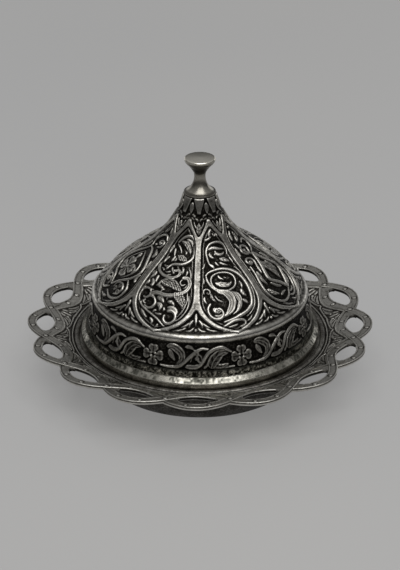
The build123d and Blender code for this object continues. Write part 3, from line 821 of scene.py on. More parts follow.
def panel_vine(c):
    """Left of the front: an S vine with hatched leaves and a rolled acanthus."""
    c.stem(
        [(-3, 46.5), (-0.5, 49.6), (2.2, 50.6), (5.2, 48.6), (6.7, 43.5),
         (6.2, 38.5), (3, 35.6), (-2, 34.4), (-4.4, 31.2)],
        1.9, 0.85,
    )
    c.leaf([(-1.5, 47.4), (1.6, 46.2), (4.2, 42.6), (4.8, 40.6)], 2.6, 0.8, veins=4)
    c.leaf([(0.6, 48.9), (3.4, 47.6), (4.9, 44.6)], 1.8, 0.75)
    c.stem([(-3.2, 45.6), (-1.0, 43.5), (0.2, 41.2)], 1.0, 0.6)
    c.leaf([(-0.9, 39.6), (1.6, 38.6), (4.4, 37.6)], 3.4, 0.8, hatch=3)
    c.leaf([(-4.9, 44.6), (-5.9, 41.6), (-6.2, 39.2)], 1.6, 0.8)
    c.leaf([(-3.6, 43.2), (-3.4, 40.4), (-2.4, 38.0)], 1.5, 0.7)
    c.leaf([(-2.2, 39.4), (-3.0, 37.2), (-3.4, 35.2)], 1.5, 0.75)
    c.leaf([(-5.2, 38.2), (-6.8, 36.2), (-7.2, 33.6)], 1.6, 0.75)
    c.ribbon(
        [(-9, 33), (-8.2, 29.8), (-5.4, 27.9), (-2.2, 27.2), (1, 27.4), (3.4, 29.4), (2.4, 31.6), (0.4, 31.2)],
        1.7, 0.78,
    )
    c.leaf([(-1.8, 33.2), (-0.8, 30.9), (0.8, 29.2)], 1.5, 0.7)
    c.leaf([(3.2, 34.2), (4.4, 32.0), (4.6, 29.6)], 1.5, 0.7)
    c.stem([(6.3, 34.4), (8.5, 30.6), (9.9, 26.6)], 0.9, 0.55)
    c.leaf([(6.2, 32.4), (6.8, 30.4), (6.6, 28.4)], 1.4, 0.65)
    c.ribbon(
        [(6.2, 27.9), (8.4, 27.6), (10.3, 24.4), (9.4, 20.9),
         (5.4, 18.6), (0, 17.6), (-4.6, 17.9), (-7.4, 16.4)],
        2.3, 0.88,
    )
    c.leaf([(-9.6, 24.4), (-8.6, 22.0), (-8.8, 19.6)], 2.0, 0.75)
    c.leaf([(-6.0, 21.6), (-3.6, 21.4), (-1.6, 19.8)], 2.0, 0.7, veins=3)
    c.leaf([(-11.8, 19.4), (-13.2, 17.2), (-13.4, 14.8)], 1.6, 0.7)
    c.stem([(5.9, 27.4), (5.2, 25.4), (6.6, 23.8), (8.2, 24.8)], 1.0, 0.65)
    c.bead((7.4, 25.6), 1.0, height=0.5)
    c.leaf([(-4.2, 23.6), (0.6, 24.4), (4.4, 22.6), (7.4, 20.6)], 4.6, 0.85, hatch=5)
    c.stem([(-4.6, 24.6), (-2.2, 26.0), (1.4, 26.2), (4.4, 25.0)], 0.9, 0.6)
    c.leaf([(-4.2, 24.8), (-5.2, 22.6), (-6.6, 20.8)], 1.5, 0.7)
    c.leaf([(-8.8, 28.6), (-9.8, 26.2), (-11.4, 23.8)], 1.8, 0.85)
    c.leaf([(-6.9, 27.0), (-7.4, 24.6), (-7.2, 22.2)], 1.6, 0.7)
    c.leaf([(-10.9, 23.0), (-11.9, 21.2), (-13.0, 20.0)], 1.5, 0.7)
    c.volute((-10.2, 16.6), 2.6, 0.7, 250, 1, 1.0, 0.8, 0, roll=0.1)
    c.volute((-6.9, 12.6), 3.2, 0.72, 230, 1, 1.2, 0.85, 0, roll=0.1)
    c.stem([(-7.6, 16.2), (-5.4, 15.4), (-3.6, 13.2), (-4.0, 10.8), (-6.0, 9.2)], 1.1, 0.75)
    c.leaf([(-3.8, 15.8), (-1.4, 15.4), (0.9, 13.4)], 2.6, 0.8, veins=3)
    c.leaf([(-2.8, 13.0), (-0.6, 11.8), (-0.4, 9.2)], 2.5, 0.8, veins=3)
    c.stem([(-14.0, 13.6), (-12.6, 11.4), (-9.6, 9.2), (-5.0, 7.4), (-0.6, 5.4), (2.6, 3.2), (5.2, 1.4)], 1.0, 0.9)
    c.stem([(-12.6, 17.6), (-13.8, 14.8), (-13.2, 12.0)], 0.9, 0.6)
    c.leaf([(4.2, 19.6), (7.0, 17.8), (9.6, 15.0), (10.8, 11.6)], 4.4, 0.85, hatch=7)
    c.stem([(11.9, 18.6), (13.0, 14.4), (12.7, 10.6), (11.0, 7.2), (8.6, 5.0)], 0.9, 0.75)
    c.stem([(10.5, 20.4), (11.8, 15.6), (11.2, 11.0), (9.4, 7.6)], 0.8, 0.75)
    c.volute((5.3, 6.7), 3.6, 0.85, 110, -1, 1.7, 0.95, 0, roll=0.3)
    c.leaf([(3.0, 11.6), (5.6, 11.8), (8.2, 10.2), (9.0, 7.6)], 2.2, 0.9)
    c.leaf([(2.2, 14.8), (4.6, 14.4), (6.6, 12.8)], 2.0, 0.8, veins=3)
    sprigs = [(-12.4, 26.6, 70), (-9.9, 20.4, 40), (-5.4, 29.8, 120), (3.6, 30.6, 60), (-2.6, 36.4, 30)]
    for across, up, way in sprigs + [(2.4, 40.6, 80)]:
        c.sprig((across, up), way, 1.3)
    sprigs = [(0.2, 14.8, 140), (-2.0, 9.2, 200), (1.6, 9.4, 80), (-10.6, 12.4, 300), (10.4, 14.6, 250)]
    for across, up, way in sprigs + [(-1.2, 20.4, 200), (-8.6, 19.4, 320)]:
        c.sprig((across, up), way, 1.2)
    c.leaf([(-10.6, 8.2), (-8.2, 6.0), (-5.6, 4.4)], 1.8, 0.65, veins=3)
    c.leaf([(-11.6, 30.2), (-10.8, 27.6), (-12.2, 25.2)], 1.5, 0.6)
    c.leaf([(0.6, 34.0), (1.6, 32.8), (2.8, 32.4)], 1.3, 0.55)
    c.leaf([(-1.6, 30.6), (-3.6, 29.6), (-5.0, 30.2)], 1.2, 0.55)
    c.leaf([(-3.6, 27.0), (-2.4, 28.4), (-0.4, 28.8)], 1.1, 0.5)
    c.leaf([(3.4, 17.8), (1.6, 16.4), (1.8, 15.0)], 1.3, 0.6)
    c.leaf([(9.2, 24.8), (8.4, 22.6), (7.0, 22.6)], 1.2, 0.55)
    c.leaf([(-6.6, 33.0), (-5.0, 32.6), (-4.0, 33.6)], 1.2, 0.55)
    c.leaf([(-9.4, 13.2), (-11.4, 11.4), (-11.0, 9.6)], 1.3, 0.55)
    c.leaf([(1.2, 7.8), (-0.8, 7.6), (-2.8, 8.0)], 1.2, 0.55)
    c.leaf([(-4.4, 5.2), (-2.6, 3.4), (-3.2, 1.4)], 1.6, 0.65)
    c.leaf([(0.8, 3.0), (0.2, 1.4), (-0.8, 0.4)], 1.4, 0.6)
    c.leaf([(8.2, 3.6), (10.4, 4.6), (11.8, 6.4)], 1.2, 0.6)
    for spot, size in (((-10.2, 16.6), 1.9), ((-6.9, 12.6), 2.4), ((5.3, 6.5), 1.9), ((7.5, 25.6), 1.1)):
        c.pit(spot, size, 0.7)


def panel_rings(c):
    """Right of the front: a ring with a leaf, and a broad acanthus below it."""
    c.stem(
        [(-2.8, 33.4), (-4.4, 35.4), (-4.7, 39), (-4.2, 43), (-1.8, 46.4),
         (2, 47.2), (5.0, 45.6), (6.2, 42.2), (5.8, 39.6)],
        1.3, 0.8,
    )
    c.stem([(-4.4, 36.0), (-2.6, 34.2)], 1.2, 0.75)
    c.leaf([(-3.2, 43.6), (-0.6, 44.4), (2.8, 43.4), (5.6, 42.6)], 1.9, 0.8)
    c.leaf([(-0.2, 43.0), (1.0, 40.9), (3.2, 40.4), (5.0, 41.8)], 1.8, 0.8)
    c.leaf([(-2.8, 42.2), (-2.6, 40.0), (-0.8, 38.6)], 1.7, 0.7)
    c.bead((-0.4, 40.9), 0.6, height=0.6)
    c.leaf([(1.2, 38.4), (3.6, 37.4), (6.4, 35.6)], 2.4, 0.75, veins=3)
    c.leaf([(0.6, 36.6), (2.6, 35.0), (5.0, 33.8)], 1.5, 0.65)
    c.leaf([(6.4, 38.2), (7.4, 36.2), (7.8, 34.0)], 1.2, 0.6)
    c.leaf([(-1.4, 37.2), (-0.8, 35.4), (0.4, 34.4)], 1.3, 0.65)
    c.leaf([(-1.2, 50.0), (-0.4, 52.6), (0.8, 54.4)], 1.6, 0.8)
    c.leaf([(2.8, 49.8), (3.2, 51.8), (1.6, 53.8)], 1.6, 0.8)
    c.leaf([(-3.8, 48.4), (-1.4, 49.4), (0.4, 50.6)], 1.4, 0.7)
    c.stem([(0.6, 51.8), (1.6, 50.4), (2.6, 51.2)], 0.7, 0.7)
    c.stem(
        [(-8.2, 29.6), (-5.6, 31.6), (0, 32.7), (5.2, 30.9), (9.2, 26.8), (11.4, 21),
         (11.8, 15), (10.2, 10.4), (5.6, 7.8), (-1.4, 5.9), (-5.4, 5.0)],
        2.0, 0.9,
    )
    c.stem([(12.9, 22), (13.5, 16.5), (12.4, 10.8), (9.6, 7.6), (6.6, 6.0)], 0.8, 0.7)
    c.stem([(10.6, 11.8), (6.6, 8.8), (1.6, 7.4)], 0.7, 0.85)
    c.leaf([(-8.0, 29.9), (-8.2, 26.8), (-7.0, 23.0), (-4.4, 20.0)], 1.6, 0.8)
    c.stem(
        [(-6.6, 25.6), (-5.6, 28.6), (-2.6, 30.4), (1.4, 30.4), (4.6, 28.6),
         (5.7, 25.6), (4.6, 22.4), (1.2, 20.7), (-2.6, 20.9), (-5.6, 22.6)],
        1.2, 0.75, closed=True,
    )
    c.leaf([(-2.4, 29.4), (-1.6, 27.6), (0.4, 26.4)], 1.6, 0.9)
    c.leaf([(-4.8, 25.4), (-1.8, 24.2), (1.6, 23.6), (4.0, 25.2)], 3.0, 0.75, veins=4)
    c.stem([(0.4, 27.9), (2.2, 27.0), (3.4, 27.6)], 0.8, 0.6)
    c.leaf([(-5.6, 21.0), (-1.4, 19.6), (0.9, 16.4), (0.2, 12.2), (-3.0, 8.8), (-6.8, 7.2)], 4.4, 0.95, lobes=3)
    c.leaf([(0.6, 19.9), (4.0, 17.8), (5.0, 14.0), (3.0, 10.2), (-0.6, 8.0)], 3.0, 0.9, lobes=3)
    c.leaf([(2.0, 16.6), (2.8, 14.4), (2.2, 12.0)], 1.2, 0.95)
    c.volute((-7.6, 10.2), 4.9, 1.15, 120, 1, 1.5, 0.85, 0.4)
    c.leaf([(-9.4, 12.2), (-7.8, 10.8), (-5.2, 10.6)], 3.0, 0.85, hatch=3)
    c.leaf([(-9.6, 8.6), (-7.4, 8.2), (-5.6, 9.2)], 1.6, 0.75)
    c.volute((-9.8, 20.6), 2.1, 1.0, 200, -1, 1.0, 0.75, 0.6)
    c.leaf([(-8.2, 19.8), (-8.4, 17.4), (-6.6, 15.2)], 1.8, 0.8, hatch=4)
    c.leaf([(-11.8, 18.4), (-12.4, 16.4), (-11.4, 14.4)], 1.6, 0.75)
    c.leaf([(-10.4, 25.0), (-9.8, 27.2), (-9.6, 29.2)], 1.3, 0.6)
    c.stem([(-6.9, 18.6), (-5.6, 16.2), (-3.4, 15.0)], 0.9, 0.7)
    c.leaf([(7.2, 20.2), (7.8, 17.6), (9.4, 15.6)], 2.0, 0.75, veins=3)
    c.leaf([(7.6, 24.2), (8.2, 22.0), (8.0, 19.8)], 1.5, 0.65)
    c.leaf([(6.4, 14.8), (8.0, 13.4), (9.2, 11.8)], 1.8, 0.7)
    c.stem([(-7.0, 2.4), (-3.2, 4.0), (0, 5.0), (3.6, 5.0), (5.2, 3.4), (4.2, 1.7), (2.4, 1.8)], 1.5, 0.85)
    c.leaf([(-4.0, 2.2), (-1.0, 2.6), (1.8, 3.2)], 1.3, 0.7)
    c.leaf([(6.4, 3.8), (8.4, 4.6), (9.6, 6.4)], 1.4, 0.65)
    c.leaf([(-12.4, 9.2), (-11.4, 6.4), (-9.2, 4.4)], 1.2, 0.6)
    c.leaf([(10.6, 4.8), (12.2, 7.0), (12.9, 9.2)], 1.1, 0.6)
    c.leaf([(-9.0, 33.4), (-7.6, 34.6), (-6.2, 37.2)], 1.2, 0.55)
    c.stem([(7.6, 32.6), (9.6, 29.4), (11.0, 25.4)], 0.7, 0.5)
    for spot, size in (((2.6, 27.2), 1.4), ((-9.8, 20.4), 1.0), ((-7.4, 12.9), 1.0), ((7.4, 22.8), 1.0)):
        c.pit(spot, size, 0.4)


def panel_flower(c):
    """A quatrefoil flower inside an oval of stems, with a ring on each side below."""
    for way in (0, 90, 180, 270):
        c.petal((-3, 21.6), way + 12, 6.1, 0.8)
    c.bead((-3, 21.6), 1.2, height=0.85)
    c.stem(
        [(-3, 37.4), (0.6, 36.6), (4.4, 32.4), (8.2, 27.4), (9.6, 23),
         (7.4, 18.8), (4, 16), (0.4, 13.2), (-3, 9.8)],
        1.5, 0.85,
    )
    c.stem([(-3, 36.8), (-6.8, 31.6), (-10.6, 26.4), (-12.4, 21), (-10, 16.8), (-6.4, 14.4), (-3.2, 10.2)], 1.5, 0.85)
    c.stem([(-3, 33.6), (0.6, 31.0), (4.6, 26.2), (5.6, 22.2), (3.4, 18.4), (0.4, 15.8)], 0.8, 0.6)
    c.stem([(-3, 33.2), (-5.8, 29.0), (-8.8, 24.4), (-9.3, 20.8), (-7.6, 17.4)], 0.8, 0.6)
    c.leaf([(-3, 31.6), (-2.8, 29.2), (-3, 26.8)], 1.8, 0.8)
    c.leaf([(2.6, 24.6), (4.4, 22.8), (4.2, 20.2)], 1.4, 0.65)
    c.stem([(-2.2, 6.4), (3.8, 4.8), (9.8, 7.6), (10.6, 13), (6.8, 17.4)], 1.3, 0.8)
    c.stem([(4.2, 7.4), (7.4, 8.8), (8.0, 12.0), (5.4, 14.2), (1.6, 13.2), (0.6, 10.0)], 1.0, 0.75)
    for way in (80, 200, 320):
        c.petal((4.5, 10.8), way, 2.9, 0.75)
    c.stem([(-3.4, 8.2), (-8.6, 5.4), (-12.6, 8.0), (-13.0, 12.4)], 1.3, 0.8)
    c.volute((-9.4, 10.6), 2.9, 1.2, 0, 1, 1.1, 0.8, 0.8)
    c.leaf([(-6.0, 12.6), (-5.4, 9.8), (-6.4, 7.4)], 1.6, 0.7)
    c.leaf([(0.4, 4.0), (-2.6, 3.0), (-6.2, 3.4)], 1.8, 0.7, veins=3)
    c.leaf([(8.2, 5.2), (5.4, 2.8), (2.0, 1.8)], 1.6, 0.65)
    c.leaf([(11.6, 17.8), (10.2, 20.2), (11.0, 23.4)], 1.7, 0.75)
    c.leaf([(9.6, 26.8), (8.6, 29.4), (7.8, 32.4)], 1.6, 0.7)
    c.leaf([(5.8, 33.2), (5.4, 36.0), (3.0, 38.6)], 2.0, 0.75, veins=3)
    c.leaf([(-9.0, 33.0), (-7.0, 36.2), (-6.0, 39.4)], 1.8, 0.7)
    c.leaf([(-12.0, 17.2), (-13.2, 19.6), (-12.8, 22.4)], 1.3, 0.6)
    c.volute((2.4, 42.0), 2.6, 1.1, 270, 1, 1.1, 0.8, 0.7)
    c.stem([(-3, 38.0), (-3.6, 41.4), (-1.2, 45.6), (2.2, 46.8), (4.6, 44.6)], 1.2, 0.8)
    c.leaf([(-4.6, 41.0), (-5.0, 44.0), (-3.4, 47.0)], 1.5, 0.7)
    c.leaf([(-1.6, 47.2), (0.0, 50.2), (0.4, 53.6)], 1.9, 0.8)
    c.leaf([(3.2, 48.0), (2.4, 50.4), (1.6, 52.2)], 1.3, 0.65)
    c.bead((-0.6, 39.8), 0.8, height=0.7)


def panel_lattice(c):
    """An ogee diamond with a leaf in it, under a small ring on a stem."""
    c.ribbon([(2, 33.6), (5.4, 27.4), (10.2, 20), (7.6, 14.2), (4.4, 9.6)], 1.9, 0.85)
    c.ribbon([(2, 33.6), (-0.6, 27.2), (-4.2, 19), (0.4, 14.0), (4.4, 9.6)], 1.9, 0.85)
    c.leaf([(-0.6, 28.0), (3.0, 22.6), (4.0, 14.6)], 4.2, 0.85, veins=4)
    c.leaf([(4.2, 26.6), (6.0, 22.4), (6.6, 18.2)], 1.6, 0.75)
    c.stem([(-3.4, 42.8), (-2.6, 38.4), (1.2, 33.0)], 1.3, 0.8)
    c.stem([(-3.6, 37.6), (-1.0, 40.4), (1.6, 38.4), (0.8, 35.4), (-1.6, 35.0)], 1.2, 0.8, closed=True)
    c.bead((-1.0, 37.6), 0.9, height=0.75)
    c.stem([(2.4, 34.4), (5.6, 36.2), (6.4, 39.6), (4.4, 42.4), (2.0, 41.4)], 1.2, 0.75)
    c.volute((-5.2, 31.0), 3.0, 1.2, 320, 1, 1.2, 0.8, 0.8)
    c.stem(
        [(-7.8, 28.8), (-9.4, 24.0), (-11.6, 18.6), (-12.4, 13.0),
         (-10.2, 8.2), (-5.8, 5.4), (-0.6, 5.8), (4.2, 9.0)],
        1.4, 0.8,
    )
    c.stem([(10.4, 20.4), (11.8, 15.6), (12.0, 11.0), (9.2, 6.6), (5.0, 4.6), (1.4, 5.6)], 1.4, 0.8)
    c.leaf([(-7.2, 25.2), (-8.6, 20.6), (-7.8, 16.4)], 2.4, 0.8, veins=3)
    c.leaf([(-5.4, 16.8), (-3.0, 13.8), (0.6, 11.6)], 1.8, 0.75)
    c.leaf([(-10.4, 14.8), (-8.8, 12.0), (-5.4, 9.6)], 2.6, 0.8, hatch=4)
    c.leaf([(-5.0, 8.6), (-2.0, 9.2), (0.8, 9.0)], 1.5, 0.7)
    c.leaf([(7.4, 9.8), (8.8, 12.8), (9.2, 16.0)], 2.0, 0.8, veins=3)
    c.leaf([(3.4, 6.8), (6.2, 7.0), (8.2, 8.4)], 1.4, 0.7)
    c.leaf([(9.0, 24.6), (8.4, 28.0), (6.6, 31.2)], 1.8, 0.75)
    c.leaf([(-2.6, 29.6), (-4.2, 26.0), (-5.4, 22.4)], 1.5, 0.7)
    c.leaf([(-6.8, 35.4), (-6.0, 38.6), (-5.4, 41.4)], 1.6, 0.7)
    c.leaf([(-0.4, 43.0), (1.2, 45.6), (0.8, 48.8)], 2.2, 0.8, veins=3)
    c.leaf([(-3.2, 44.6), (-2.2, 47.6), (-0.6, 50.4)], 1.5, 0.7)
    c.leaf([(3.6, 44.6), (3.6, 47.6), (2.0, 51.0)], 1.4, 0.7)
    c.leaf([(-7.6, 5.0), (-4.4, 2.6), (-0.8, 2.0)], 1.7, 0.65, veins=3)
    c.leaf([(1.0, 3.8), (3.6, 2.2), (6.6, 3.2)], 1.6, 0.65)
    c.bead((0.4, 51.6), 0.9, height=0.7)
    c.bead((-9.8, 27.6), 0.8, height=0.6)


def fork_leaves(c):
    """The three-cornered fill between two panels, above the ring bead."""
    c.leaf([(0, 10.0), (0.2, 7.0), (0, 3.4)], 2.0, 0.85)
    for side in (-1, 1):
        c.leaf(on_side(side, (1.2, 6.6), (2.7, 4.8), (3.4, 2.4)), 1.5, 0.8)
        c.leaf(on_side(side, (3.0, 5.2), (5.2, 3.5), (7.6, 2.5)), 1.3, 0.7)
        c.leaf(on_side(side, (0.9, 2.8), (2.6, 1.3), (5.4, 0.9)), 1.0, 0.7)
        c.stem(on_side(side, (4.8, 2.5), (7.2, 1.4), (10.2, 0.8)), 0.8, 0.6)
    c.bead((0, 1.6), 0.8, height=0.75)


def top_fork_leaves(c):
    """The small trefoil between two panel tips."""
    c.leaf([(0, 51.4), (0, 54.2), (0, 57.6)], 2.5, 0.85, veins=4)
    for side in (-1, 1):
        c.leaf(on_side(side, (1.0, 54.4), (1.9, 56.0), (2.4, 58.2)), 1.2, 0.6)
        c.leaf(on_side(side, (0.4, 58.2), (1.2, 59.2), (2.4, 59.2)), 1.1, 0.35)


def collar(c):
    """Gables over the panel tips under the finial, with plain plates between them."""
    c.leaf([(0, 67.4), (0, 65.0), (0, 61.6)], 2.3, 0.85, bowl=0.1)
    for side in (-1, 1):
        c.leaf(on_side(side, (0.4, 61.4), (1.6, 61.0), (2.6, 59.8)), 1.3, 0.36)
        c.leaf(on_side(side, (0.3, 59.9), (1.4, 59.3), (2.4, 59.0)), 1.0, 0.3)


plates_foot = 61.6


def plates_between(across, up):
    """The plain raised plates of the collar, wide at the top."""
    half = np.interp(up, (plates_foot, 69.4), (0.85, 2.6))
    inner = np.minimum(half - np.abs(across), np.minimum(up - plates_foot, 69.5 - up))
    return 0.75 * limit(inner / 0.3)


def panel_relief(design):
    """The relief of one panel and of half the forks on each of its sides."""
    share = np.linspace(-1, 1, panel_columns + 1)[None, :]
    across = share * panel_half * dome_points[:, :1]
    up = np.repeat(dome_up[:, None], panel_columns + 1, 1)
    to_window = inside(window, across, up)
    fork_across = (np.abs(share) - 1) * panel_half * dome_points[:, :1]
    to_fork = inside(fork, fork_across, up)
    to_top = inside(top_fork, fork_across, up)
    open_ground = np.minimum(np.minimum(to_window, to_fork), to_top)
    frame_top = strap_top * limit((open_ground + 0.05) / 0.42) ** 0.6
    foot_low = np.minimum(-2.3 + 0.4 * np.abs(across), 0)
    frame_top *= limit((59.4 - up) / 1.2) ** 0.5 * limit((up - foot_low) / 0.5)
    c = Carving(across, up)
    design(c)
    border = bell(to_window + 0.95, 0.3) * 0.4
    inner = np.maximum(c.height, border) * limit(-to_window / 0.3)
    f = Carving(fork_across, up)
    fork_leaves(f)
    f.height *= limit(-to_fork / 0.25)
    t = Carving(fork_across, up)
    top_fork_leaves(t)
    t.height *= limit(-to_top / 0.2)
    neck = Carving(across, up)
    collar(neck)
    neck.height *= limit((up - 58.6) / 0.4) * limit((69.6 - up) / 0.3)
    neck.height = np.maximum(neck.height, plates_between(fork_across, up))
    carved = softened(inner + f.height + t.height + neck.height, 0.55)
    height = np.maximum(frame_top, carved)
    height = np.where(open_ground < 0, carved, height)
    height = np.where(up < 0.05, np.where(frame_top > 0.03, frame_top, -0.35), height)
    return softened(height, 0.45), open_ground


made_panels = [panel_relief(design) for design in (panel_vine, panel_rings, panel_lattice, panel_flower)]
dome_ahead = np.gradient(dome_points, axis=0)
dome_ahead /= np.hypot(dome_ahead[:, 0], dome_ahead[:, 1])[:, None]
dome_out = np.stack([dome_ahead[:, 1], -dome_ahead[:, 0]], 1)
inner_rows = (dome_rows - 1, 215, 185, 150, 122, 90, 60, 30, 0)
inner_line = [tuple(dome_points[i] - dome_out[i] * 1.1) for i in inner_rows]
quarter_columns = 2 * panel_columns
# Each quarter: its name, the turn of its first edge, and its first panel.
quarters = [("lid_dome_front", -45, 0), ("lid_dome_right", 45, 2)]
quarters += [("lid_dome_back", 135, 0), ("lid_dome_left", 225, 2)]
for name, first, pair in quarters:
    bm = spun(dome_line + inner_line, quarter_columns, first=first + lid_turn, sweep=90)
    quarter = piece(name, bm, lid_silver, "lid", "lid_shell", crease=85)
    radius, turn, height = places(quarter.data)
    row = rows_of(quarter.data)
    place = (turn - first - lid_turn + 180) % 360 - 180
    column = np.clip(np.round(place / 90 * quarter_columns).astype(int), 0, quarter_columns)
    left, right = made_panels[pair], made_panels[pair + 1]
    relief = np.hstack([left[0], right[0][:, 1:]])
    openness = np.hstack([left[1], right[1][:, 1:]])
    angles = np.radians(first + np.arange(quarter_columns + 1) * 90 / quarter_columns)[None, :]
    arc = angles * dome_points[:, :1] + 600
    up = np.repeat(dome_up[:, None], quarter_columns + 1, 1)
    stipple = 0.1 * mottle(arc, up, 0.6, 41) * (openness < 0) * np.clip(1 - relief / 0.4, 0.1, 1)
    dents = 0.045 * mottle(arc, up, 1.5, 42) + 0.02 * mottle(arc, up, 0.55, 43)
    relief = relief + stipple + dents * limit(openness)
    shade = hollows(relief, 3.2, 1.25, 0.41, 0.42) + 0.02 * limit(openness * 3)
    patchy = 0.5 * mottle(arc, up, 2.6, 44) + 0.5 * mottle(arc, up, 0.9, 45)
    shade = shade + 0.16 * patchy * limit(openness * 3)
    if name == "lid_dome_front":
        # Corrosion has pitted the right side of the front strap.
        beside = arc - 600
        pitted = bell(beside - 1.5, 0.7) * limit((up - 13) / 3) * limit((44 - up) / 3)
        shade = shade + 0.5 * pitted * limit(mottle(arc, up, 0.7, 46) + 0.45)
    lift = read_grid(relief, row, column, 0)
    ways = dome_out[np.clip(row, 0, dome_rows - 1)]
    settle(quarter.data, radius + lift * ways[:, 0], turn, height + lift * ways[:, 1])
    darken(quarter.data, read_grid(shade, row, column, 0.6))


# INSIDE OF THE LID
# The hollow face of the casting, left as it came from the mould, and the crown
# with the hole for the finial's screw.

washer_top = 96.9
screw_hole = 1.7
inside_silver = aged_silver(
    "inside_silver", cast_tones, gloss=0.42, dull=0.65, patches=0.35, specks=0.35, dents=0.00006, grain=500
)
wall_line = bowed((50.8, 46.2), (27.1, 68.4), 1.5, 16) + bowed((27.1, 68.4), (5.75, washer_top), -3.7, 18)[1:]
inside_line = [(58.4, 20.2), (58.4, 23.3), (56.0, 25.7), (55.0, 30.0), (52.7, 43.6)] + wall_line
inside_line += [(screw_hole, washer_top), (screw_hole, crown), (7.5, crown), (7.2, 97.4)]
inside_line += [(r + 0.9, z + 0.3) for r, z in reversed(wall_line)]
inside_line += [(53.9, 43.6), (56.1, 30.0), (57.2, 26.2), (59.6, 23.9), (59.6, 20.35)]
bm = spun(inside_line, 256)
lining = piece("lid_inside", bm, inside_silver, "lid", "lid_shell")
radius, turn, height = places(lining.data)
arc = np.radians(turn) * 50 + 400
darken(lining.data, 0.5 + 0.12 * mottle(arc, height, 6, 51) + 0.1 * (height > 90))


# FINIAL
# Turned from one piece and polished: a lip that stands on the crown, a hollow
# neck, and a flared top that fingers hold.

finial_tones = [
    (0.0, (0.74, 0.71, 0.63)),
    (0.3, (0.46, 0.44, 0.385)),
    (0.6, (0.17, 0.16, 0.138)),
    (1.0, (0.03, 0.028, 0.023)),
]
finial_silver = aged_silver(
    "finial_silver", finial_tones, gloss=0.17, dull=0.42, patches=0.25, specks=0.12, dents=0.000006, grain=1200
)
# Each arc starts where the last one ends: its start, its bulge and its points.
finial_arcs = [
    ((7.3, crown + 0.9), -1.1, 20),
    ((2.85, 107.6), -0.12, 7),
    ((3.1, 110.2), -0.3, 11),
    ((6.8, 115.1), 0.2, 6),
    ((7.75, 117.2), 0.1, 4),
    ((7.25, 117.85), 0.06, 12),
    ((0, 118.24), 0, 0),
]
finial_line = [(1.55, crown), (7.9, crown), (7.9, crown + 0.9), (7.3, crown + 0.9)]
for (start, bulge, count), (end, _, _) in zip(finial_arcs, finial_arcs[1:]):
    finial_line += bowed(start, end, bulge, count)[1:]
finial_line += [(0, 106.9), (1.55, 106.9)]
bm = spun(finial_line, 128, soft=(1, 2), soft_by=0.22)
finial = piece("finial_turned", bm, finial_silver, "lid", "finial")
radius, turn, height = places(finial.data)
# Painted shade on the neck under the top and on the lower flare, a painted highlight on the top face and its rim, and
# a darker line round the lip.
throat_shade = 0.36 * bell(height - 112.0, 2.3) + 0.12 * bell(height - 104.5, 1.6)
foot_line = 0.35 * bell(height - crown - 1.0, 0.35) * (radius > 6)
upper = limit((height - 116.9) / 0.6)
darken(finial.data, 0.46 - 0.46 * upper + throat_shade * (1 - upper) + foot_line)


# WASHER AND SCREW
# An M3 pan head screw with a slot holds the finial from inside the lid, through
# a wide washer. Both are zinc-plated steel.


def zinc_plate(name, colour):
    """Bright zinc plate with a faint cloudiness."""
    made = bpy.data.materials.new(name)
    made.use_nodes = True
    tree = made.node_tree
    spot = node(tree, "ShaderNodeTexCoord").outputs["Object"]
    cloud = node(tree, "ShaderNodeTexNoise", Vector=spot, Scale=900, Detail=4).outputs["Fac"]
    tone = toned(tree, cloud, [(0.3, [c * 0.72 for c in colour]), (0.7, colour)])
    rough = node(tree, "ShaderNodeMapRange", Value=cloud, To_Min=0.26, To_Max=0.44).outputs["Result"]
    bump = node(tree, "ShaderNodeBump", Strength=0.6, Distance=0.00001, Height=cloud).outputs["Normal"]
    feed(tree, tree.nodes["Principled BSDF"], Metallic=1.0, Base_Color=tone, Roughness=rough, Normal=bump)
    return made


washer_low = 96.1
washer_radius = 4.5
washer_zinc = zinc_plate("washer_zinc", (0.60, 0.59, 0.56))
washer_line = [(screw_hole, washer_low), (washer_radius, washer_low)]
washer_line += [(washer_radius, washer_top), (screw_hole, washer_top)]
bm = spun(washer_line, 96, soft=(0, 1, 2, 3), soft_by=0.12)
piece("screw_washer_round", bm, washer_zinc, "lid", "screw_washer")

head_low = 94.0
head_radius = 3.0
slot_half = 0.45
slot_depth = 1.0
screw_zinc = zinc_plate("screw_zinc", (0.56, 0.55, 0.52))
head_line = [(0, washer_low), (head_radius, washer_low), (head_radius, head_low), (0, head_low)]
bm = spun(head_line, 96, soft=(1, 2), soft_by=0.55, closed=False)
# The slot: the head is cut beside it on two planes, and the strip between is
# pushed up into the head.
for side in (-1, 1):
    cut = [*bm.verts, *bm.edges, *bm.faces]
    bmesh.ops.bisect_plane(bm, geom=cut, dist=1e-7, plane_co=(0, side * slot_half / 1000, 0), plane_no=(0, 1, 0))
floor_faces = []
for face in bm.faces:
    middle = face.calc_center_median() * 1000
    if abs(middle.y) < slot_half and middle.z < head_low + slot_depth - 0.05:
        floor_faces.append(face)
slot = bmesh.ops.extrude_face_region(bm, geom=floor_faces)
raised = [v for v in slot["geom"] if isinstance(v, bmesh.types.BMVert)]
for dot in raised:
    dot.co.z = max(dot.co.z, (head_low + slot_depth) / 1000)
bmesh.ops.delete(bm, geom=floor_faces, context="FACES_ONLY")
bmesh.ops.remove_doubles(bm, verts=bm.verts[:], dist=1e-7)
bmesh.ops.recalc_face_normals(bm, faces=bm.faces[:])
piece("finial_screw_head", bm, screw_zinc, "lid", "finial_screw")

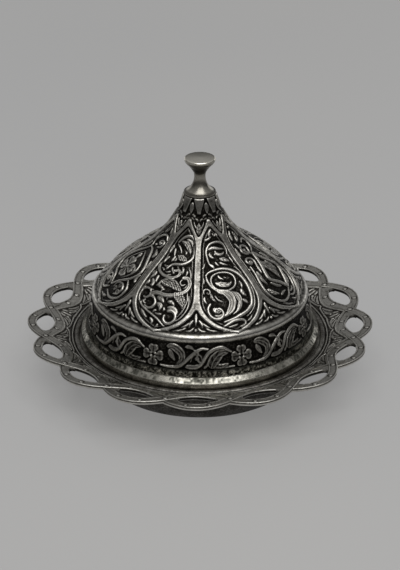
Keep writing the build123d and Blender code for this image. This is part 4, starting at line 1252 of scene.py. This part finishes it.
thread_pitch = 0.5
thread_radius = 1.5
thread_depth = 0.26
thread_length = 10.0
thread_line = [(0, washer_low)] + [(thread_radius, washer_low + thread_length * i / 80) for i in range(81)]
bm = spun(thread_line + [(0, washer_low + thread_length)], 48, closed=False)
thread = piece("finial_screw_thread", bm, screw_zinc, "lid", "finial_screw", crease=60)
radius, turn, height = places(thread.data)
wind = ((height - washer_low) / thread_pitch - turn / 360) % 1
full_depth = limit((washer_low + thread_length - height) / 0.4)
valley = thread_depth * (1 - np.abs(2 * wind - 1)) * full_depth
settle(thread.data, np.where(radius > 1, radius - valley, radius), turn, height)


# TABLE AND LIGHT
# A plain pale table top, with soft lamps overhead and at the sides, and the
# camera where the photograph was taken from.

bm = bmesh.new()
bmesh.ops.create_grid(bm, x_segments=8, y_segments=8, size=3.0)
floor_mesh = bpy.data.meshes.new("table_top")
bm.to_mesh(floor_mesh)
bm.free()
floor = placed("table_top", floor_mesh)
table_paint = bpy.data.materials.new("table_paint")
table_paint.use_nodes = True
tree = table_paint.node_tree
spot = node(tree, "ShaderNodeTexCoord").outputs["Object"]
haze = node(tree, "ShaderNodeTexNoise", Vector=spot, Scale=2.2, Detail=1).outputs["Fac"]
tint = toned(tree, haze, [(0.0, (0.41, 0.413, 0.418)), (1.0, (0.47, 0.463, 0.452))])
skin = tree.nodes["Principled BSDF"]
feed(tree, skin, Base_Color=tint, Roughness=0.6)
# Half of the table's own light is added for what looks at it or mirrors it, so
# that it stays pale beside the shadow.
glow = node(tree, "ShaderNodeEmission", Color=tint, Strength=0.98)
ray = node(tree, "ShaderNodeLightPath").outputs
seen = worked_out(tree, "ADD", ray["Is Camera Ray"], ray["Is Glossy Ray"])
seen = worked_out(tree, "ADD", seen, ray["Is Transmission Ray"], clamp=True)
blend = node(tree, "ShaderNodeMixShader")
plug(tree, blend.inputs["Fac"], worked_out(tree, "MULTIPLY", seen, 0.5))
plug(tree, blend.inputs[1], skin.outputs["BSDF"])
plug(tree, blend.inputs[2], glow.outputs["Emission"])
feed(tree, tree.nodes["Material Output"], Surface=blend.outputs["Shader"])
floor_mesh.materials.append(table_paint)


def lamp(name, size, spot, aim, power):
    """A soft rectangular lamp that points at a spot."""
    light = bpy.data.lights.new(name, "AREA")
    light.shape = "RECTANGLE"
    light.size, light.size_y = size
    light.energy = power
    made = placed(name, light)
    made.location = spot
    made.rotation_euler = (Vector(aim) - Vector(spot)).to_track_quat("-Z", "Y").to_euler()


lamp("overhead_lamp", (1.02, 1.1), (0.1, -0.45, 1.15), (0, 0, 0.05), 9.4)
lamp("left_lamp", (0.9, 0.5), (-0.75, 1.2, 0.28), (0, 0, 0.06), 1.1)
lamp("right_lamp", (0.9, 0.5), (0.75, 1.25, 0.28), (0, 0, 0.06), 1.4)

world = bpy.data.worlds.new("room")
bpy.context.scene.world = world
world.use_nodes = True
tree = world.node_tree
way = node(tree, "ShaderNodeTexCoord").outputs["Generated"]
up = node(tree, "ShaderNodeSeparateXYZ", Vector=way).outputs["Z"]
room_tones = [(0.0, 0.05), (0.26, 0.09), (0.46, 0.28), (0.8, 0.42)]
room = toned(tree, up, [(at, (tone, tone, tone)) for at, tone in room_tones])
feed(tree, tree.nodes["Background"], Color=room, Strength=1.0)

view = bpy.data.cameras.new("view")
view.lens = 117.0
view.sensor_width = 36.0
camera = placed("view", view)
camera.location = (0.0118, -0.8406, 0.4697)
camera.rotation_euler = (radians(90 - 26.65), 0, radians(0.8))
view.clip_start = 0.01
view.clip_end = 20
bpy.context.scene.camera = camera
bpy.context.scene.view_settings.view_transform = "Standard"
